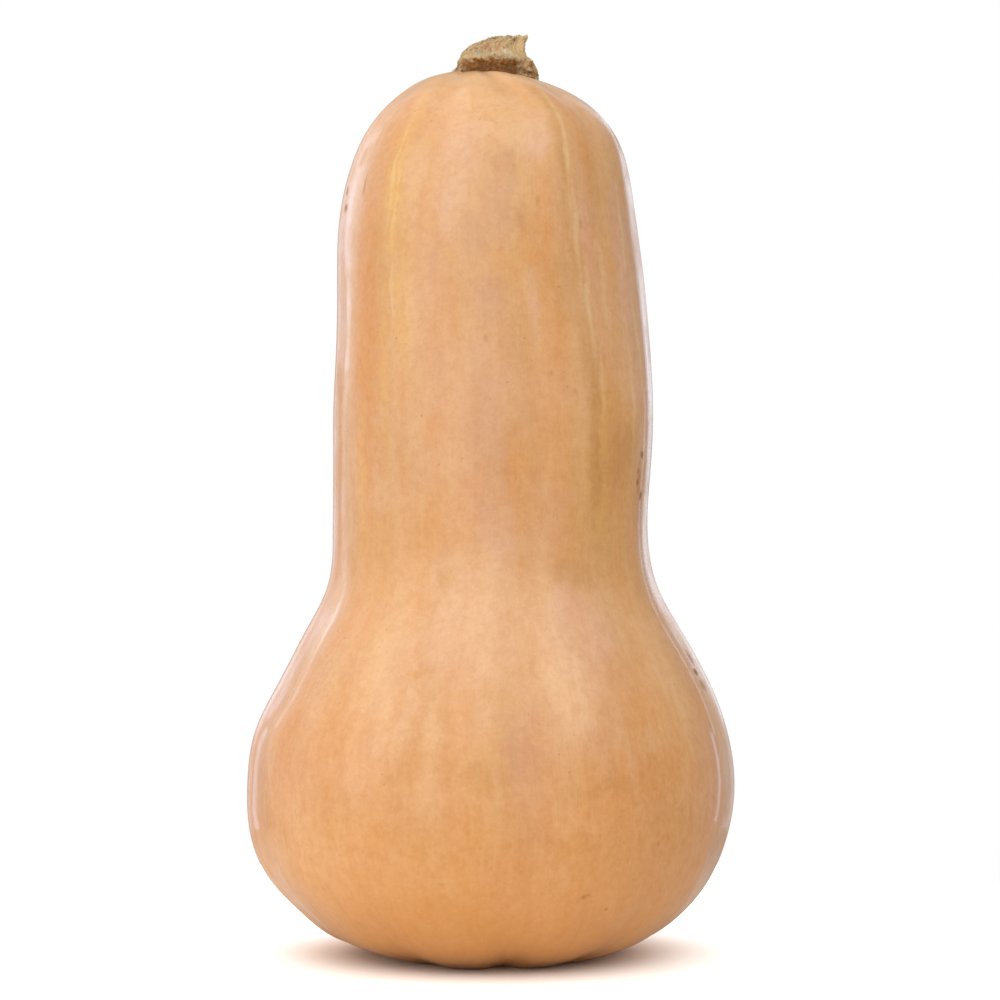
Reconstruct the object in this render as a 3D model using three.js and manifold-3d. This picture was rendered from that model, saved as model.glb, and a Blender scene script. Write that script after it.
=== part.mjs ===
// A whole butternut squash that stands on its blossom end, with the dry stub of its stalk on top.
//
// Lengths are millimetres and angles are radians. +Z is up, -Y is the front, and the origin is on the ground
// under the middle of the squash. The fruit grew in one piece, so it is one solid. The stub is the second piece:
// it is wood, and its toes sit on the crown of the fruit.
import * as THREE from "three";
import Module from "manifold-3d";
import { mergeVertices } from "three/addons/utils/BufferGeometryUtils.js";

// ---- Driving dimensions of the fruit ----

// The outline from the blossom scar up to the crown. Each station is a round section of the fruit: its radius,
// its height, and how far its middle stands to the right (+X) and to the back (+Y) of the standing axis.
const FRUIT_OUTLINE = [
  [0, 2, 0, 0], // blossom scar, a corky button
  [3.4, 2.1, 0, 0],
  [5.6, 3.2, 0, 0], // groove round the scar
  [11, 2, 0, 0],
  [20, -0.7, 0, 0], // foot ring, cut flat by the ground
  [32, 1.3, 0.1, 0],
  [42, 5, 0.3, 0],
  [50.4, 11.4, 0.7, 0.1],
  [58.2, 21, 0.1, 0.2],
  [62.5, 33, 0, 0.3],
  [63.2, 45, 0.3, 0.3], // widest part of the bulb
  [61.1, 58, 0.1, 0],
  [55.3, 71, 0.7, -0.4],
  [48.4, 84, 0.5, -0.8],
  [42.5, 96, 0.6, -1],
  [40.9, 109, 0.4, -0.9], // waist
  [41.5, 123, 0.9, -0.5],
  [41.9, 138, 1.1, 0],
  [41.3, 154, 0.9, 0.5],
  [40.2, 170, 0.3, 0.8],
  [38.9, 186, -0.5, 0.8],
  [36.5, 201, -0.3, 0.6],
  [31.6, 214, 0.2, 0.3],
  [21.7, 223.3, -1.3, 0],
  [11, 227.9, -3.8, 0],
  [0, 229.3, -4.2, 0], // crown, under the stalk
];

// Ten shallow grooves run from the crown to the blossom scar, one over each bundle of veins.
const GROOVES = 10;
const FIRST_GROOVE = THREE.MathUtils.degToRad(4); // measured from the front, to the right
const GROOVE_SHARPNESS = 4; // power of the cosine: higher is narrower
const GROOVE_TWIST = 0.0006; // turn of the grooves with height, per millimetre
const GROOVE_SWAY = 0.06; // how far the grooves stand from their even spacing
const GROOVE_UNEVENNESS = 0.3; // share by which some are deeper and others shallower
const GROOVE_DEPTHS = [ // [height, depth]
  [0, 1],
  [12, 0.8],
  [45, 0.55],
  [90, 0.5],
  [115, 0.3],
  [190, 0.35],
  [215, 0.5],
  [230, 0.45],
];

// Broad waves of the skin: [lobes round the fruit, waves per millimetre of height, phase, height of the wave].
const WAVES = [
  [2, 0.008, 0.8, 0.35],
  [3, -0.011, 2.1, 0.25],
  [5, 0.006, 4, 0.15],
];

// Dents (negative) and swellings: [degrees from the front, height, half width, half height, depth].
const DENTS = [
  [82, 119, 16, 14, -0.4],
  [7, 48, 6, 14, -0.4],
  [27, 70, 10, 18, 0.4],
  [-150, 86, 20, 16, -0.7],
  [165, 150, 18, 30, 0.6],
];

// The relief dies out towards the stalk and the scar, between these two radii.
const PLAIN_RADIUS = 3;
const FULL_RADIUS = 13;
const FRUIT_SECTORS = 100;
const FRUIT_RINGS_PER_SPAN = 2;

// ---- Driving dimensions of the stalk ----

const STALK_OUTLINE = [
  [0, 222, 1, 0], // below the crown, cut away by the fruit
  [8.8, 223, 1, 0],
  [9.1, 227, 1, 0],
  [9, 229.6, 1, 0], // corky collar
  [8.9, 230.8, 1, 0],
  [9.4, 231.8, 1, 0], // lip of the flared base
  [8.5, 233.2, 0.7, 0.1],
  [7.7, 234.8, 0.7, 0.3],
  [6.9, 236, 1.5, 0.6],
  [5.7, 237.2, 2.8, 0.9],
  [4.4, 238.6, 4.2, 1.2], // broken end
  [2.4, 238.8, 4.5, 1.2],
  [0, 238.2, 4.5, 1.2],
];
const STALK_RIDGES = 5;
const FIRST_RIDGE = THREE.MathUtils.degToRad(86);
const RIDGE_HEIGHT = 0.7;
// Toes that run out over the crown: [angle from the front, half width in degrees, reach].
const TOES = [
  [82, 24, 2],
  [152, 20, 1.5],
  [-102, 26, 3.3],
  [-38, 18, 0.4],
  [14, 18, 0.3],
];
const TOE_TOP = 230.8; // the toes end in the lip of the flared base
const TOE_BLEND = 2.2;
// The splinter that the break left standing on the right of the broken end.
const SPLINTER = { angle: THREE.MathUtils.degToRad(96), width: 0.5, rise: 0.35, lean: 0.4, from: 236.6 };
// The stub is uneven up and down as well: [waves round the stub, phase, rise].
const UNEVEN = [
  [2, 0.9, 0.3],
  [3, 2.6, 0.25],
  [7, 1.2, 0.15],
];
const STALK_SECTORS = 50;
const STALK_RINGS_PER_SPAN = 2;

const SEAT_GAP = 0.3; // between the stalk and the crown

// ---- Curves and surfaces ----

// A line that passes through its stations as a thin batten would: a natural cubic spline, spaced by the distance
// between the stations in their first two values. `mirrored` stations lie past the ends, so that the line crosses
// the axis square to it.
class Batten {
  constructor(stations) {
    const mirrored = (end, next) => [-next[0], ...next.slice(1, 2), ...end.slice(2)];
    const last = stations.length - 1;
    this.stations = [
      mirrored(stations[0], stations[1]),
      ...stations,
      mirrored(stations[last], stations[last - 1]),
    ];
    this.spans = last;
    this.lengths = this.stations
      .slice(1)
      .map((station, i) => Math.hypot(station[0] - this.stations[i][0], station[1] - this.stations[i][1]));
    this.bends = this.stations[0].map((_, axis) => this.bendsAlong(axis));
  }

  // Second derivatives at the stations, from the tridiagonal system of a natural spline.
  bendsAlong(axis) {
    const count = this.stations.length;
    const value = (i) => this.stations[i][axis];
    const slope = (i) => (value(i + 1) - value(i)) / this.lengths[i];
    const upper = new Array(count).fill(0);
    const bend = new Array(count).fill(0);
    for (let i = 1; i < count - 1; i++) {
      const before = this.lengths[i - 1];
      const after = this.lengths[i];
      const pivot = 2 * (before + after) - before * upper[i - 1];
      upper[i] = after / pivot;
      bend[i] = (6 * (slope(i) - slope(i - 1)) - before * bend[i - 1]) / pivot;
    }
    for (let i = count - 2; i > 0; i--) bend[i] -= upper[i] * bend[i + 1];
    return bend;
  }

  // The values at `place`, which counts stations from the first one, and their slopes.
  at(place) {
    const span = Math.min(Math.floor(place), this.spans - 1);
    const i = span + 1; // the mirrored station comes first
    const length = this.lengths[i];
    const b = place - span;
    const a = 1 - b;
    const values = [];
    const slopes = [];
    this.stations[0].forEach((_, axis) => {
      const [from, to] = [this.stations[i][axis], this.stations[i + 1][axis]];
      const [bendFrom, bendTo] = [this.bends[axis][i], this.bends[axis][i + 1]];
      values.push(a * from + b * to + (((a ** 3 - a) * bendFrom + (b ** 3 - b) * bendTo) * length ** 2) / 6);
      slopes.push(
        (to - from) / length + (((3 * b * b - 1) * bendTo - (3 * a * a - 1) * bendFrom) * length) / 6,
      );
    });
    return { values, slopes };
  }
}

// A value that changes evenly between [height, value] pairs.
function alongHeight(pairs, height) {
  const next = pairs.findIndex(([level]) => level > height);
  if (next < 0) return pairs[pairs.length - 1][1];
  if (next === 0) return pairs[0][1];
  const [[low, from], [high, to]] = [pairs[next - 1], pairs[next]];
  return THREE.MathUtils.mapLinear(height, low, high, from, to);
}

// The shortest turn from one angle to another.
const turnBetween = (from, to) => Math.atan2(Math.sin(to - from), Math.cos(to - from));

const bell = (distance) => Math.exp(-distance * distance);

// A point at `radius` from a section's middle, at an angle measured from the front to the right.
const pointOnSection = (radius, angle, [, height, right, back]) =>
  new THREE.Vector3(right + radius * Math.sin(angle), back - radius * Math.cos(angle), height);

// A closed surface: one point at each pole, and rings of points between them.
function closedSurface(pointAt, rings, sectors) {
  const points = [pointAt(0, 0)];
  for (let ring = 1; ring < rings; ring++)
    for (let sector = 0; sector < sectors; sector++)
      points.push(pointAt(ring / rings, (2 * Math.PI * sector) / sectors));
  points.push(pointAt(1, 0));

  const top = points.length - 1;
  const index = (ring, sector) => 1 + (ring - 1) * sectors + (sector % sectors);
  const faces = [];
  for (let sector = 0; sector < sectors; sector++) {
    faces.push(0, index(1, sector + 1), index(1, sector));
    for (let ring = 1; ring < rings - 1; ring++) {
      const [a, b] = [index(ring, sector), index(ring, sector + 1)];
      const [c, d] = [index(ring + 1, sector + 1), index(ring + 1, sector)];
      faces.push(a, b, c, a, c, d);
    }
    faces.push(index(rings - 1, sector), index(rings - 1, sector + 1), top);
  }
  return new THREE.BufferGeometry().setFromPoints(points).setIndex(faces);
}

// ---- The fruit ----

const fruitLine = new Batten(FRUIT_OUTLINE);

// How far the skin stands off the plain round section.
function fruitRelief(angle, height) {
  const sway = GROOVE_SWAY * Math.sin(2 * angle + 1);
  const groove = Math.cos((GROOVES / 2) * (angle - FIRST_GROOVE - GROOVE_TWIST * height - sway));
  const depth = alongHeight(GROOVE_DEPTHS, height) * (1 + GROOVE_UNEVENNESS * Math.cos(3 * angle));
  let relief = -depth * groove ** GROOVE_SHARPNESS;
  for (const [lobes, rate, phase, size] of WAVES)
    relief += size * Math.sin(lobes * angle + rate * 2 * Math.PI * height + phase);
  return relief;
}

// Dents are sized along the skin, so they need the section's radius.
function fruitDents(angle, height, radius) {
  return DENTS.reduce((sum, [degrees, level, halfWidth, halfHeight, depth]) => {
    const across = (turnBetween(THREE.MathUtils.degToRad(degrees), angle) * radius) / halfWidth;
    return sum + depth * bell(across) * bell((height - level) / halfHeight);
  }, 0);
}

function fruitPoint(share, angle) {
  const { values, slopes } = fruitLine.at(share * fruitLine.spans);
  const [radius, height] = values;
  const steepness = Math.hypot(slopes[0], slopes[1]);
  const outward = slopes[1] / steepness;
  const upward = -slopes[0] / steepness;
  const fade = THREE.MathUtils.smoothstep(radius, PLAIN_RADIUS, FULL_RADIUS);
  const relief = fade * (fruitRelief(angle, height) + fruitDents(angle, height, radius));

  const point = pointOnSection(radius + relief * outward, angle, values);
  point.z += relief * upward;
  point.z = Math.max(point.z, 0); // the foot is flat where it stands
  return point;
}

function fruitGeometry() {
  return closedSurface(fruitPoint, fruitLine.spans * FRUIT_RINGS_PER_SPAN, FRUIT_SECTORS);
}

// ---- The stalk ----

const stalkLine = new Batten(STALK_OUTLINE);

function stalkPoint(share, angle) {
  const { values } = stalkLine.at(share * stalkLine.spans);
  const [radius, height] = values;
  const fade = THREE.MathUtils.smoothstep(radius, 0, 4);
  let reach = RIDGE_HEIGHT * Math.cos(STALK_RIDGES * (angle - FIRST_RIDGE));
  const footing = 1 - THREE.MathUtils.smoothstep(height, TOE_TOP - TOE_BLEND, TOE_TOP + TOE_BLEND);
  for (const [middle, halfWidth, length] of TOES) {
    const away = turnBetween(THREE.MathUtils.degToRad(middle), angle);
    reach += footing * length * bell(away / THREE.MathUtils.degToRad(halfWidth));
  }
  const point = pointOnSection(radius + fade * reach, angle, values);
  for (const [lobes, phase, rise] of UNEVEN) point.z += fade * rise * Math.sin(lobes * angle + phase);

  const splinter =
    bell(turnBetween(SPLINTER.angle, angle) / SPLINTER.width) *
    THREE.MathUtils.smoothstep(height, SPLINTER.from, SPLINTER.from + 2) *
    fade;
  point.x += SPLINTER.lean * splinter;
  point.z += SPLINTER.rise * splinter;
  return point;
}

function stalkGeometry() {
  return closedSurface(stalkPoint, stalkLine.spans * STALK_RINGS_PER_SPAN, STALK_SECTORS);
}

// ---- Cutting the stalk to its seat ----

const wasm = await Module();
wasm.setup();

function solidFrom(geometry) {
  const merged = mergeVertices(geometry);
  return new wasm.Manifold(
    new wasm.Mesh({
      numProp: 3,
      vertProperties: new Float32Array(merged.getAttribute("position").array),
      triVerts: new Uint32Array(merged.index.array),
    }),
  );
}

function geometryFrom(solid) {
  const { vertProperties, triVerts } = solid.getMesh();
  return new THREE.BufferGeometry()
    .setAttribute("position", new THREE.BufferAttribute(vertProperties, 3))
    .setIndex(new THREE.BufferAttribute(triVerts, 1));
}

// ---- The squash ----

function namedMesh(name, geometry, material) {
  geometry.computeVertexNormals();
  const mesh = new THREE.Mesh(geometry, material);
  mesh.name = name;
  return mesh;
}

function butternutSquash() {
  const skin = new THREE.MeshStandardMaterial({ color: 0xdba36b, roughness: 0.42, metalness: 0 });
  const wood = new THREE.MeshStandardMaterial({ color: 0xb59a6c, roughness: 0.9, metalness: 0 });

  const fruit = fruitGeometry();
  const seat = solidFrom(fruit).translate([0, 0, SEAT_GAP]);
  const stalk = geometryFrom(solidFrom(stalkGeometry()).subtract(seat));

  const squash = new THREE.Group();
  squash.add(namedMesh("fruit", fruit, skin), namedMesh("stalk", stalk, wood));

  // The origin goes under the middle of the squash, which isn't quite where its outline was drawn from.
  const middle = new THREE.Box3().setFromObject(squash).getCenter(new THREE.Vector3());
  squash.position.set(-middle.x, -middle.y, 0);
  return squash;
}

export default butternutSquash();
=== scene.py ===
"""Dresses a packed butternut squash: its waxy skin, its dry stalk, and a plain studio to see it in.

Lengths in the fields of the squash are millimetres, and MM turns them into the metres that Blender works in.
The studio's lengths are metres. Angles round the squash start at the front (-Y) and grow towards the right
(+X).
"""

import logging
import math
from collections.abc import Callable, Sequence
from dataclasses import dataclass
from enum import Enum
from typing import Any

import bpy
import numpy as np
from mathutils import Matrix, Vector, noise
from mathutils.bvhtree import BVHTree


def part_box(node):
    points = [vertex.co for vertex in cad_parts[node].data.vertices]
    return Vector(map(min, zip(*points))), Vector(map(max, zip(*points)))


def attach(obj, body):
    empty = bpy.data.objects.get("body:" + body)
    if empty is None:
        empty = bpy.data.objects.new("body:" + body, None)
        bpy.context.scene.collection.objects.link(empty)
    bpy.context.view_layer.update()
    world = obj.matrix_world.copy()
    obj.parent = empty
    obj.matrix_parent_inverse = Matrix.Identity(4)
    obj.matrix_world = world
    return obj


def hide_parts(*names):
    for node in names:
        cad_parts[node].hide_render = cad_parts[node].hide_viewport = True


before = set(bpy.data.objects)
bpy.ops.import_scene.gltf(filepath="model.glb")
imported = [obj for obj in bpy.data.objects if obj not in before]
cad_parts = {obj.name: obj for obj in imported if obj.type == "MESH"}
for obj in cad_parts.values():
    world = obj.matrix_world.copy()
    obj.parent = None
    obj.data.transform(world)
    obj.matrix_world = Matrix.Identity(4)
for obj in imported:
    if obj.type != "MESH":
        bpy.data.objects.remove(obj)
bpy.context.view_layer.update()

LOG = logging.getLogger("squash")
MM = 0.001
BODY = "root"

Station = tuple[float, float, float, float]
"""One round section: radius, height, and its middle's place to the right and to the back."""


# ---------------------------------------------------------------- Curves and surfaces


class Batten:
    """A line through its stations, bent as a thin batten bends: a natural cubic spline.

    A mirrored station lies past each end, so that the line crosses the axis square to it.
    """

    def __init__(self, stations: Sequence[Station]) -> None:
        """Fits the line.

        Args:
            stations: The sections that the line passes through, from the lowest.
        """
        points = np.array(stations, float)
        below = [-points[1, 0], points[1, 1], *points[0, 2:]]
        above = [-points[-2, 0], points[-2, 1], *points[-1, 2:]]
        self.points = np.vstack([below, points, above])
        self.spans = len(points) - 1
        self.lengths = np.hypot(*np.diff(self.points[:, :2], axis=0).T)
        self.bends = self._bends()

    def _bends(self) -> np.ndarray:
        """Solves for the second derivatives at the stations.

        Returns:
            One row of second derivatives for each station.
        """
        matrix = np.eye(len(self.points))
        for i in range(1, len(self.points) - 1):
            before, after = self.lengths[i - 1 : i + 1]
            matrix[i, i - 1 : i + 2] = before, 2 * (before + after), after
        slopes = np.diff(self.points, axis=0) / self.lengths[:, None]
        change = np.zeros_like(self.points)
        change[1:-1] = 6 * np.diff(slopes, axis=0)
        return np.linalg.solve(matrix, change)

    def at(self, places: np.ndarray) -> tuple[np.ndarray, np.ndarray]:
        """Reads the line.

        Args:
            places: Places along the line, counted in stations from the first.

        Returns:
            The values at those places, and their slopes.
        """
        span = np.minimum(places.astype(int), self.spans - 1)
        share = (places - span)[:, None]
        left = 1 - share
        length = self.lengths[span + 1][:, None]
        start, end = self.points[span + 1], self.points[span + 2]
        bend_start, bend_end = self.bends[span + 1], self.bends[span + 2]
        bow = (left**3 - left) * bend_start + (share**3 - share) * bend_end
        values = left * start + share * end + bow * length**2 / 6
        turn = (3 * share**2 - 1) * bend_end - (3 * left**2 - 1) * bend_start
        return values, (end - start) / length + turn * length / 6


def smoothstep(value: np.ndarray, low: float, high: float) -> np.ndarray:
    """Rises smoothly from 0 at `low` to 1 at `high`."""
    share = np.clip((value - low) / (high - low), 0, 1)
    return share * share * (3 - 2 * share)


def bell(distance: np.ndarray) -> np.ndarray:
    """A bump that is 1 at no distance and fades beyond a distance of 1."""
    return np.exp(-distance * distance)


def turn_between(start: float, end: np.ndarray) -> np.ndarray:
    """The shortest turn from one angle to others, in radians."""
    return np.arctan2(np.sin(end - start), np.cos(end - start))


def section_points(radius: np.ndarray, angle: np.ndarray, values: np.ndarray) -> np.ndarray:
    """Places points round their sections.

    Args:
        radius: Distance of each point from its section's middle.
        angle: Angle of each point.
        values: The section of each point, as a station.

    Returns:
        The points, in the last axis.
    """
    right = values[..., 2] + radius * np.sin(angle)
    back = values[..., 3] - radius * np.cos(angle)
    return np.stack([right, back, values[..., 1]], axis=-1)


def closed_mesh(name: str, points: np.ndarray, flow: np.ndarray) -> bpy.types.Object:
    """Skins a grid of rings whose first and last rings are single points.

    Args:
        name: Name of the new object.
        points: Grid of points in millimetres, as rings by sectors by 3.
        flow: Grid of coordinates that run round and along the piece, of the same shape.

    Returns:
        The new object, linked to the scene.
    """
    rings, sectors = points.shape[:2]

    def flat(grid: np.ndarray) -> np.ndarray:
        """One row for each vertex: the low pole, the rings, the high pole."""
        return np.vstack([grid[0, :1], grid[1:-1].reshape(-1, 3), grid[-1, :1]])

    index = 1 + np.arange((rings - 2) * sectors).reshape(rings - 2, sectors)
    beside = np.roll(index, -1, axis=1)
    quads = np.stack([index[:-1], beside[:-1], beside[1:], index[1:]], axis=-1).reshape(-1, 4)
    top = (rings - 2) * sectors + 1
    low_fan = [(0, b, a) for a, b in zip(index[0].tolist(), beside[0].tolist())]
    high_fan = [(a, b, top) for a, b in zip(index[-1].tolist(), beside[-1].tolist())]

    mesh = bpy.data.meshes.new(name)
    mesh.from_pydata((flat(points) * MM).tolist(), [], low_fan + quads.tolist() + high_fan)
    mesh.polygons.foreach_set("use_smooth", [True] * len(mesh.polygons))
    attribute = mesh.attributes.new("flow", "FLOAT_VECTOR", "POINT")
    attribute.data.foreach_set("vector", flat(flow).astype(np.float32).ravel())
    piece = bpy.data.objects.new(name, mesh)
    bpy.context.scene.collection.objects.link(piece)
    return piece


@dataclass(frozen=True)
class Ripple:
    """Many small waves at random, which keep a grown surface from being too even.

    Attributes:
        count: How many waves.
        size: Height of one wave, in millimetres.
        most_lobes: Most waves round the piece.
        shortest: Shortest wave along the piece, in millimetres.
        seed: Seed of the random draws.
    """

    count: int
    size: float
    most_lobes: int
    shortest: float
    seed: int

    def heights(self, angle: np.ndarray, along: np.ndarray) -> np.ndarray:
        """Adds the waves up.

        Args:
            angle: Angle of each point.
            along: Place of each point along the piece, in millimetres.

        Returns:
            How far each point stands out.
        """
        draw = np.random.default_rng(self.seed)
        total = np.zeros(np.broadcast(angle, along).shape)
        for _ in range(self.count):
            lobes = draw.integers(0, self.most_lobes + 1)
            rate = draw.uniform(-1, 1) * 2 * math.pi / self.shortest
            total += self.size * np.cos(lobes * angle + rate * along + draw.uniform(0, 2 * math.pi))
        return total


# ---------------------------------------------------------------- Shader nodes

MIX_FACTOR, MIX_A, MIX_B, MIX_OUT = 0, 6, 7, 2  # sockets of a Mix node that mixes colours


def colour(code: str) -> tuple[float, float, float, float]:
    """Turns a colour into the linear values that shaders take.

    Args:
        code: The colour, such as "#dba36b".

    Returns:
        Its red, green and blue, and a last 1.
    """
    parts = [int(code[i : i + 2], 16) / 255 for i in (1, 3, 5)]
    linear = [c / 12.92 if c <= 0.04045 else ((c + 0.055) / 1.055) ** 2.4 for c in parts]
    return (*linear, 1.0)


class Bench:
    """Adds nodes to one node tree and joins them."""

    def __init__(self, tree: bpy.types.NodeTree) -> None:
        """Takes the tree to work on."""
        self.tree = tree

    def node(self, kind: str, sockets: dict[str | int, Any] | None = None, **settings: Any) -> bpy.types.Node:
        """Adds a node.

        Args:
            kind: Blender's name for the kind of node.
            sockets: Values or output sockets to give its inputs.
            **settings: Properties to set on it first.

        Returns:
            The new node.
        """
        made = self.tree.nodes.new(kind)
        for setting, value in settings.items():
            setattr(made, setting, value)
        for socket, value in (sockets or {}).items():
            self.feed(made.inputs[socket], value)
        return made

    def feed(self, socket: bpy.types.NodeSocket, value: Any) -> None:
        """Joins an output to a socket, or sets the socket's own value.

        Args:
            socket: The socket to feed.
            value: An output socket, or a plain value.
        """
        if isinstance(value, bpy.types.NodeSocket):
            self.tree.links.new(value, socket)
        else:
            socket.default_value = value

    def math(self, operation: str, *values: Any) -> bpy.types.NodeSocket:
        """Works one sum on numbers.

        Args:
            operation: Blender's name for the sum.
            *values: Its terms.

        Returns:
            The result.
        """
        return self.node("ShaderNodeMath", dict(enumerate(values)), operation=operation).outputs[0]

    def vector(self, operation: str, *values: Any, out: str = "Vector") -> bpy.types.NodeSocket:
        """Works one sum on vectors.

        Args:
            operation: Blender's name for the sum.
            *values: Its terms.
            out: Name of the output to use.

        Returns:
            The result.
        """
        return self.node("ShaderNodeVectorMath", dict(enumerate(values)), operation=operation).outputs[out]

    def mix(self, factor: Any, a: Any, b: Any, blend: str = "MIX") -> bpy.types.NodeSocket:
        """Mixes two colours.

        Args:
            factor: Share of the second colour.
            a: The first colour.
            b: The second colour.
            blend: Blender's name for the way they mix.

        Returns:
            The mixed colour.
        """
        sockets = {MIX_FACTOR: factor, MIX_A: a, MIX_B: b}
        return self.node("ShaderNodeMix", sockets, data_type="RGBA", blend_type=blend).outputs[MIX_OUT]

    def remap(
        self, value: Any, low: Any, high: Any, to_low: Any = 0.0, to_high: Any = 1.0
    ) -> bpy.types.NodeSocket:
        """Spreads a range of values smoothly over another.

        Args:
            value: The value to spread.
            low: Where the range starts.
            high: Where the range ends.
            to_low: What its start becomes.
            to_high: What its end becomes.

        Returns:
            The new value.
        """
        sockets = {"Value": value, "From Min": low, "From Max": high, "To Min": to_low, "To Max": to_high}
        return self.node("ShaderNodeMapRange", sockets, interpolation_type="SMOOTHSTEP").outputs["Result"]

    def noise(self, where: Any, scale: Any, detail: Any = 2.0, roughness: Any = 0.5) -> bpy.types.NodeSocket:
        """Adds cloudy noise.

        Args:
            where: Coordinates to read it at.
            scale: Clouds in one unit of the coordinates.
            detail: How many finer layers it has.
            roughness: How strong those layers are.

        Returns:
            The noise, from 0 to 1.
        """
        sockets = {"Vector": where, "Scale": scale, "Detail": detail, "Roughness": roughness}
        return self.node("ShaderNodeTexNoise", sockets).outputs["Fac"]

    def effect(self, group: "EffectGroup", **sockets: Any) -> bpy.types.NodeSocket:
        """Places an effect.

        Args:
            group: The effect to place.
            **sockets: Values or outputs for its inputs, with _ for each space in their names.

        Returns:
            Its mask.
        """
        named = {name.replace("_", " "): value for name, value in sockets.items()}
        return self.node("ShaderNodeGroup", named, node_tree=group.tree).outputs["Mask"]


class EffectGroup:
    """A node group with named inputs and one output, Mask, from 0 to 1."""

    name = "Effect"
    inputs: dict[str, tuple[str, Any]] = {}

    def __init__(self) -> None:
        """Builds the group."""
        self.tree = bpy.data.node_groups.new(self.name, "ShaderNodeTree")
        for socket, (kind, value) in self.inputs.items():
            made = self.tree.interface.new_socket(socket, in_out="INPUT", socket_type=kind)
            made.default_value = value
        self.tree.interface.new_socket("Mask", in_out="OUTPUT", socket_type="NodeSocketFloat")
        bench = Bench(self.tree)
        entry = bench.node("NodeGroupInput")
        bench.node("NodeGroupOutput", {"Mask": self.mask(bench, entry.outputs)})

    def mask(self, bench: Bench, given: Any) -> bpy.types.NodeSocket:
        """Makes the mask.

        Args:
            bench: The group's own bench.
            given: The group's inputs, by name.

        Returns:
            The mask.
        """
        raise NotImplementedError


NUMBER = "NodeSocketFloat"
VECTOR = "NodeSocketVector"


class Streaks(EffectGroup):
    """Streaks that run along the piece: noise drawn out lengthwise.

    Attributes:
        roughness: How strong the finer layers of the noise are.
    """

    name = "Streaks"
    inputs = {
        "Flow": (VECTOR, (0.0, 0.0, 0.0)),
        "Around": (NUMBER, 8.0),
        "Along": (NUMBER, 6.0),
        "Shift": (NUMBER, 0.0),
        "Detail": (NUMBER, 2.0),
        "Low": (NUMBER, 0.4),
        "High": (NUMBER, 0.6),
    }
    roughness = 0.6

    def mask(self, bench: Bench, given: Any) -> bpy.types.NodeSocket:
        """Stretches noise by Around and Along, and keeps what lies between Low and High.

        Args:
            bench: The group's own bench.
            given: The group's inputs, by name.

        Returns:
            The mask.
        """
        around, along, shift = given["Around"], given["Along"], given["Shift"]
        spread = bench.node("ShaderNodeCombineXYZ", {0: around, 1: around, 2: along}).outputs[0]
        moved = bench.node("ShaderNodeCombineXYZ", {0: shift, 1: shift, 2: shift}).outputs[0]
        moved = bench.vector("ADD", bench.vector("MULTIPLY", given["Flow"], spread), moved)
        cloud = bench.noise(moved, 1.0, given["Detail"], self.roughness)
        return bench.remap(cloud, given["Low"], given["High"])


class Blotches(EffectGroup):
    """Cloudy blotches with no direction.

    Attributes:
        roughness: How strong the finer layers of the noise are.
    """

    name = "Blotches"
    inputs = {
        "Where": (VECTOR, (0.0, 0.0, 0.0)),
        "Scale": (NUMBER, 30.0),
        "Detail": (NUMBER, 3.0),
        "Low": (NUMBER, 0.4),
        "High": (NUMBER, 0.6),
    }
    roughness = 0.62

    def mask(self, bench: Bench, given: Any) -> bpy.types.NodeSocket:
        """Keeps the part of the noise that lies between Low and High.

        Args:
            bench: The group's own bench.
            given: The group's inputs, by name.

        Returns:
            The mask.
        """
        cloud = bench.noise(given["Where"], given["Scale"], given["Detail"], self.roughness)
        return bench.remap(cloud, given["Low"], given["High"])


class Patch(EffectGroup):
    """One soft patch at a known place on the piece.

    Attributes:
        raggedness: How far the grain moves its edge, in half widths.
        fade: Distances from its middle at which it begins and is full, in half widths.
    """

    name = "Patch"
    inputs = {
        "Flow": (VECTOR, (0.0, 0.0, 0.0)),
        "Middle": (VECTOR, (0.0, 0.0, 0.0)),
        "Spread": (VECTOR, (1.0, 1.0, 1.0)),
        "Grain": (NUMBER, 0.5),
        "Strength": (NUMBER, 1.0),
    }
    raggedness = 1.6
    fade = (1.3, 0.15)

    def mask(self, bench: Bench, given: Any) -> bpy.types.NodeSocket:
        """Fades from the patch's middle to an edge that Grain breaks up.

        Args:
            bench: The group's own bench.
            given: The group's inputs, by name.

        Returns:
            The mask.
        """
        away = bench.vector("SUBTRACT", given["Flow"], given["Middle"])
        distance = bench.vector("LENGTH", bench.vector("MULTIPLY", away, given["Spread"]), out="Value")
        nearer = bench.math("SUBTRACT", distance, self.raggedness / 2)
        broken = bench.math("MULTIPLY_ADD", given["Grain"], self.raggedness, nearer)
        return bench.math("MULTIPLY", bench.remap(broken, *self.fade), given["Strength"])


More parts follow.
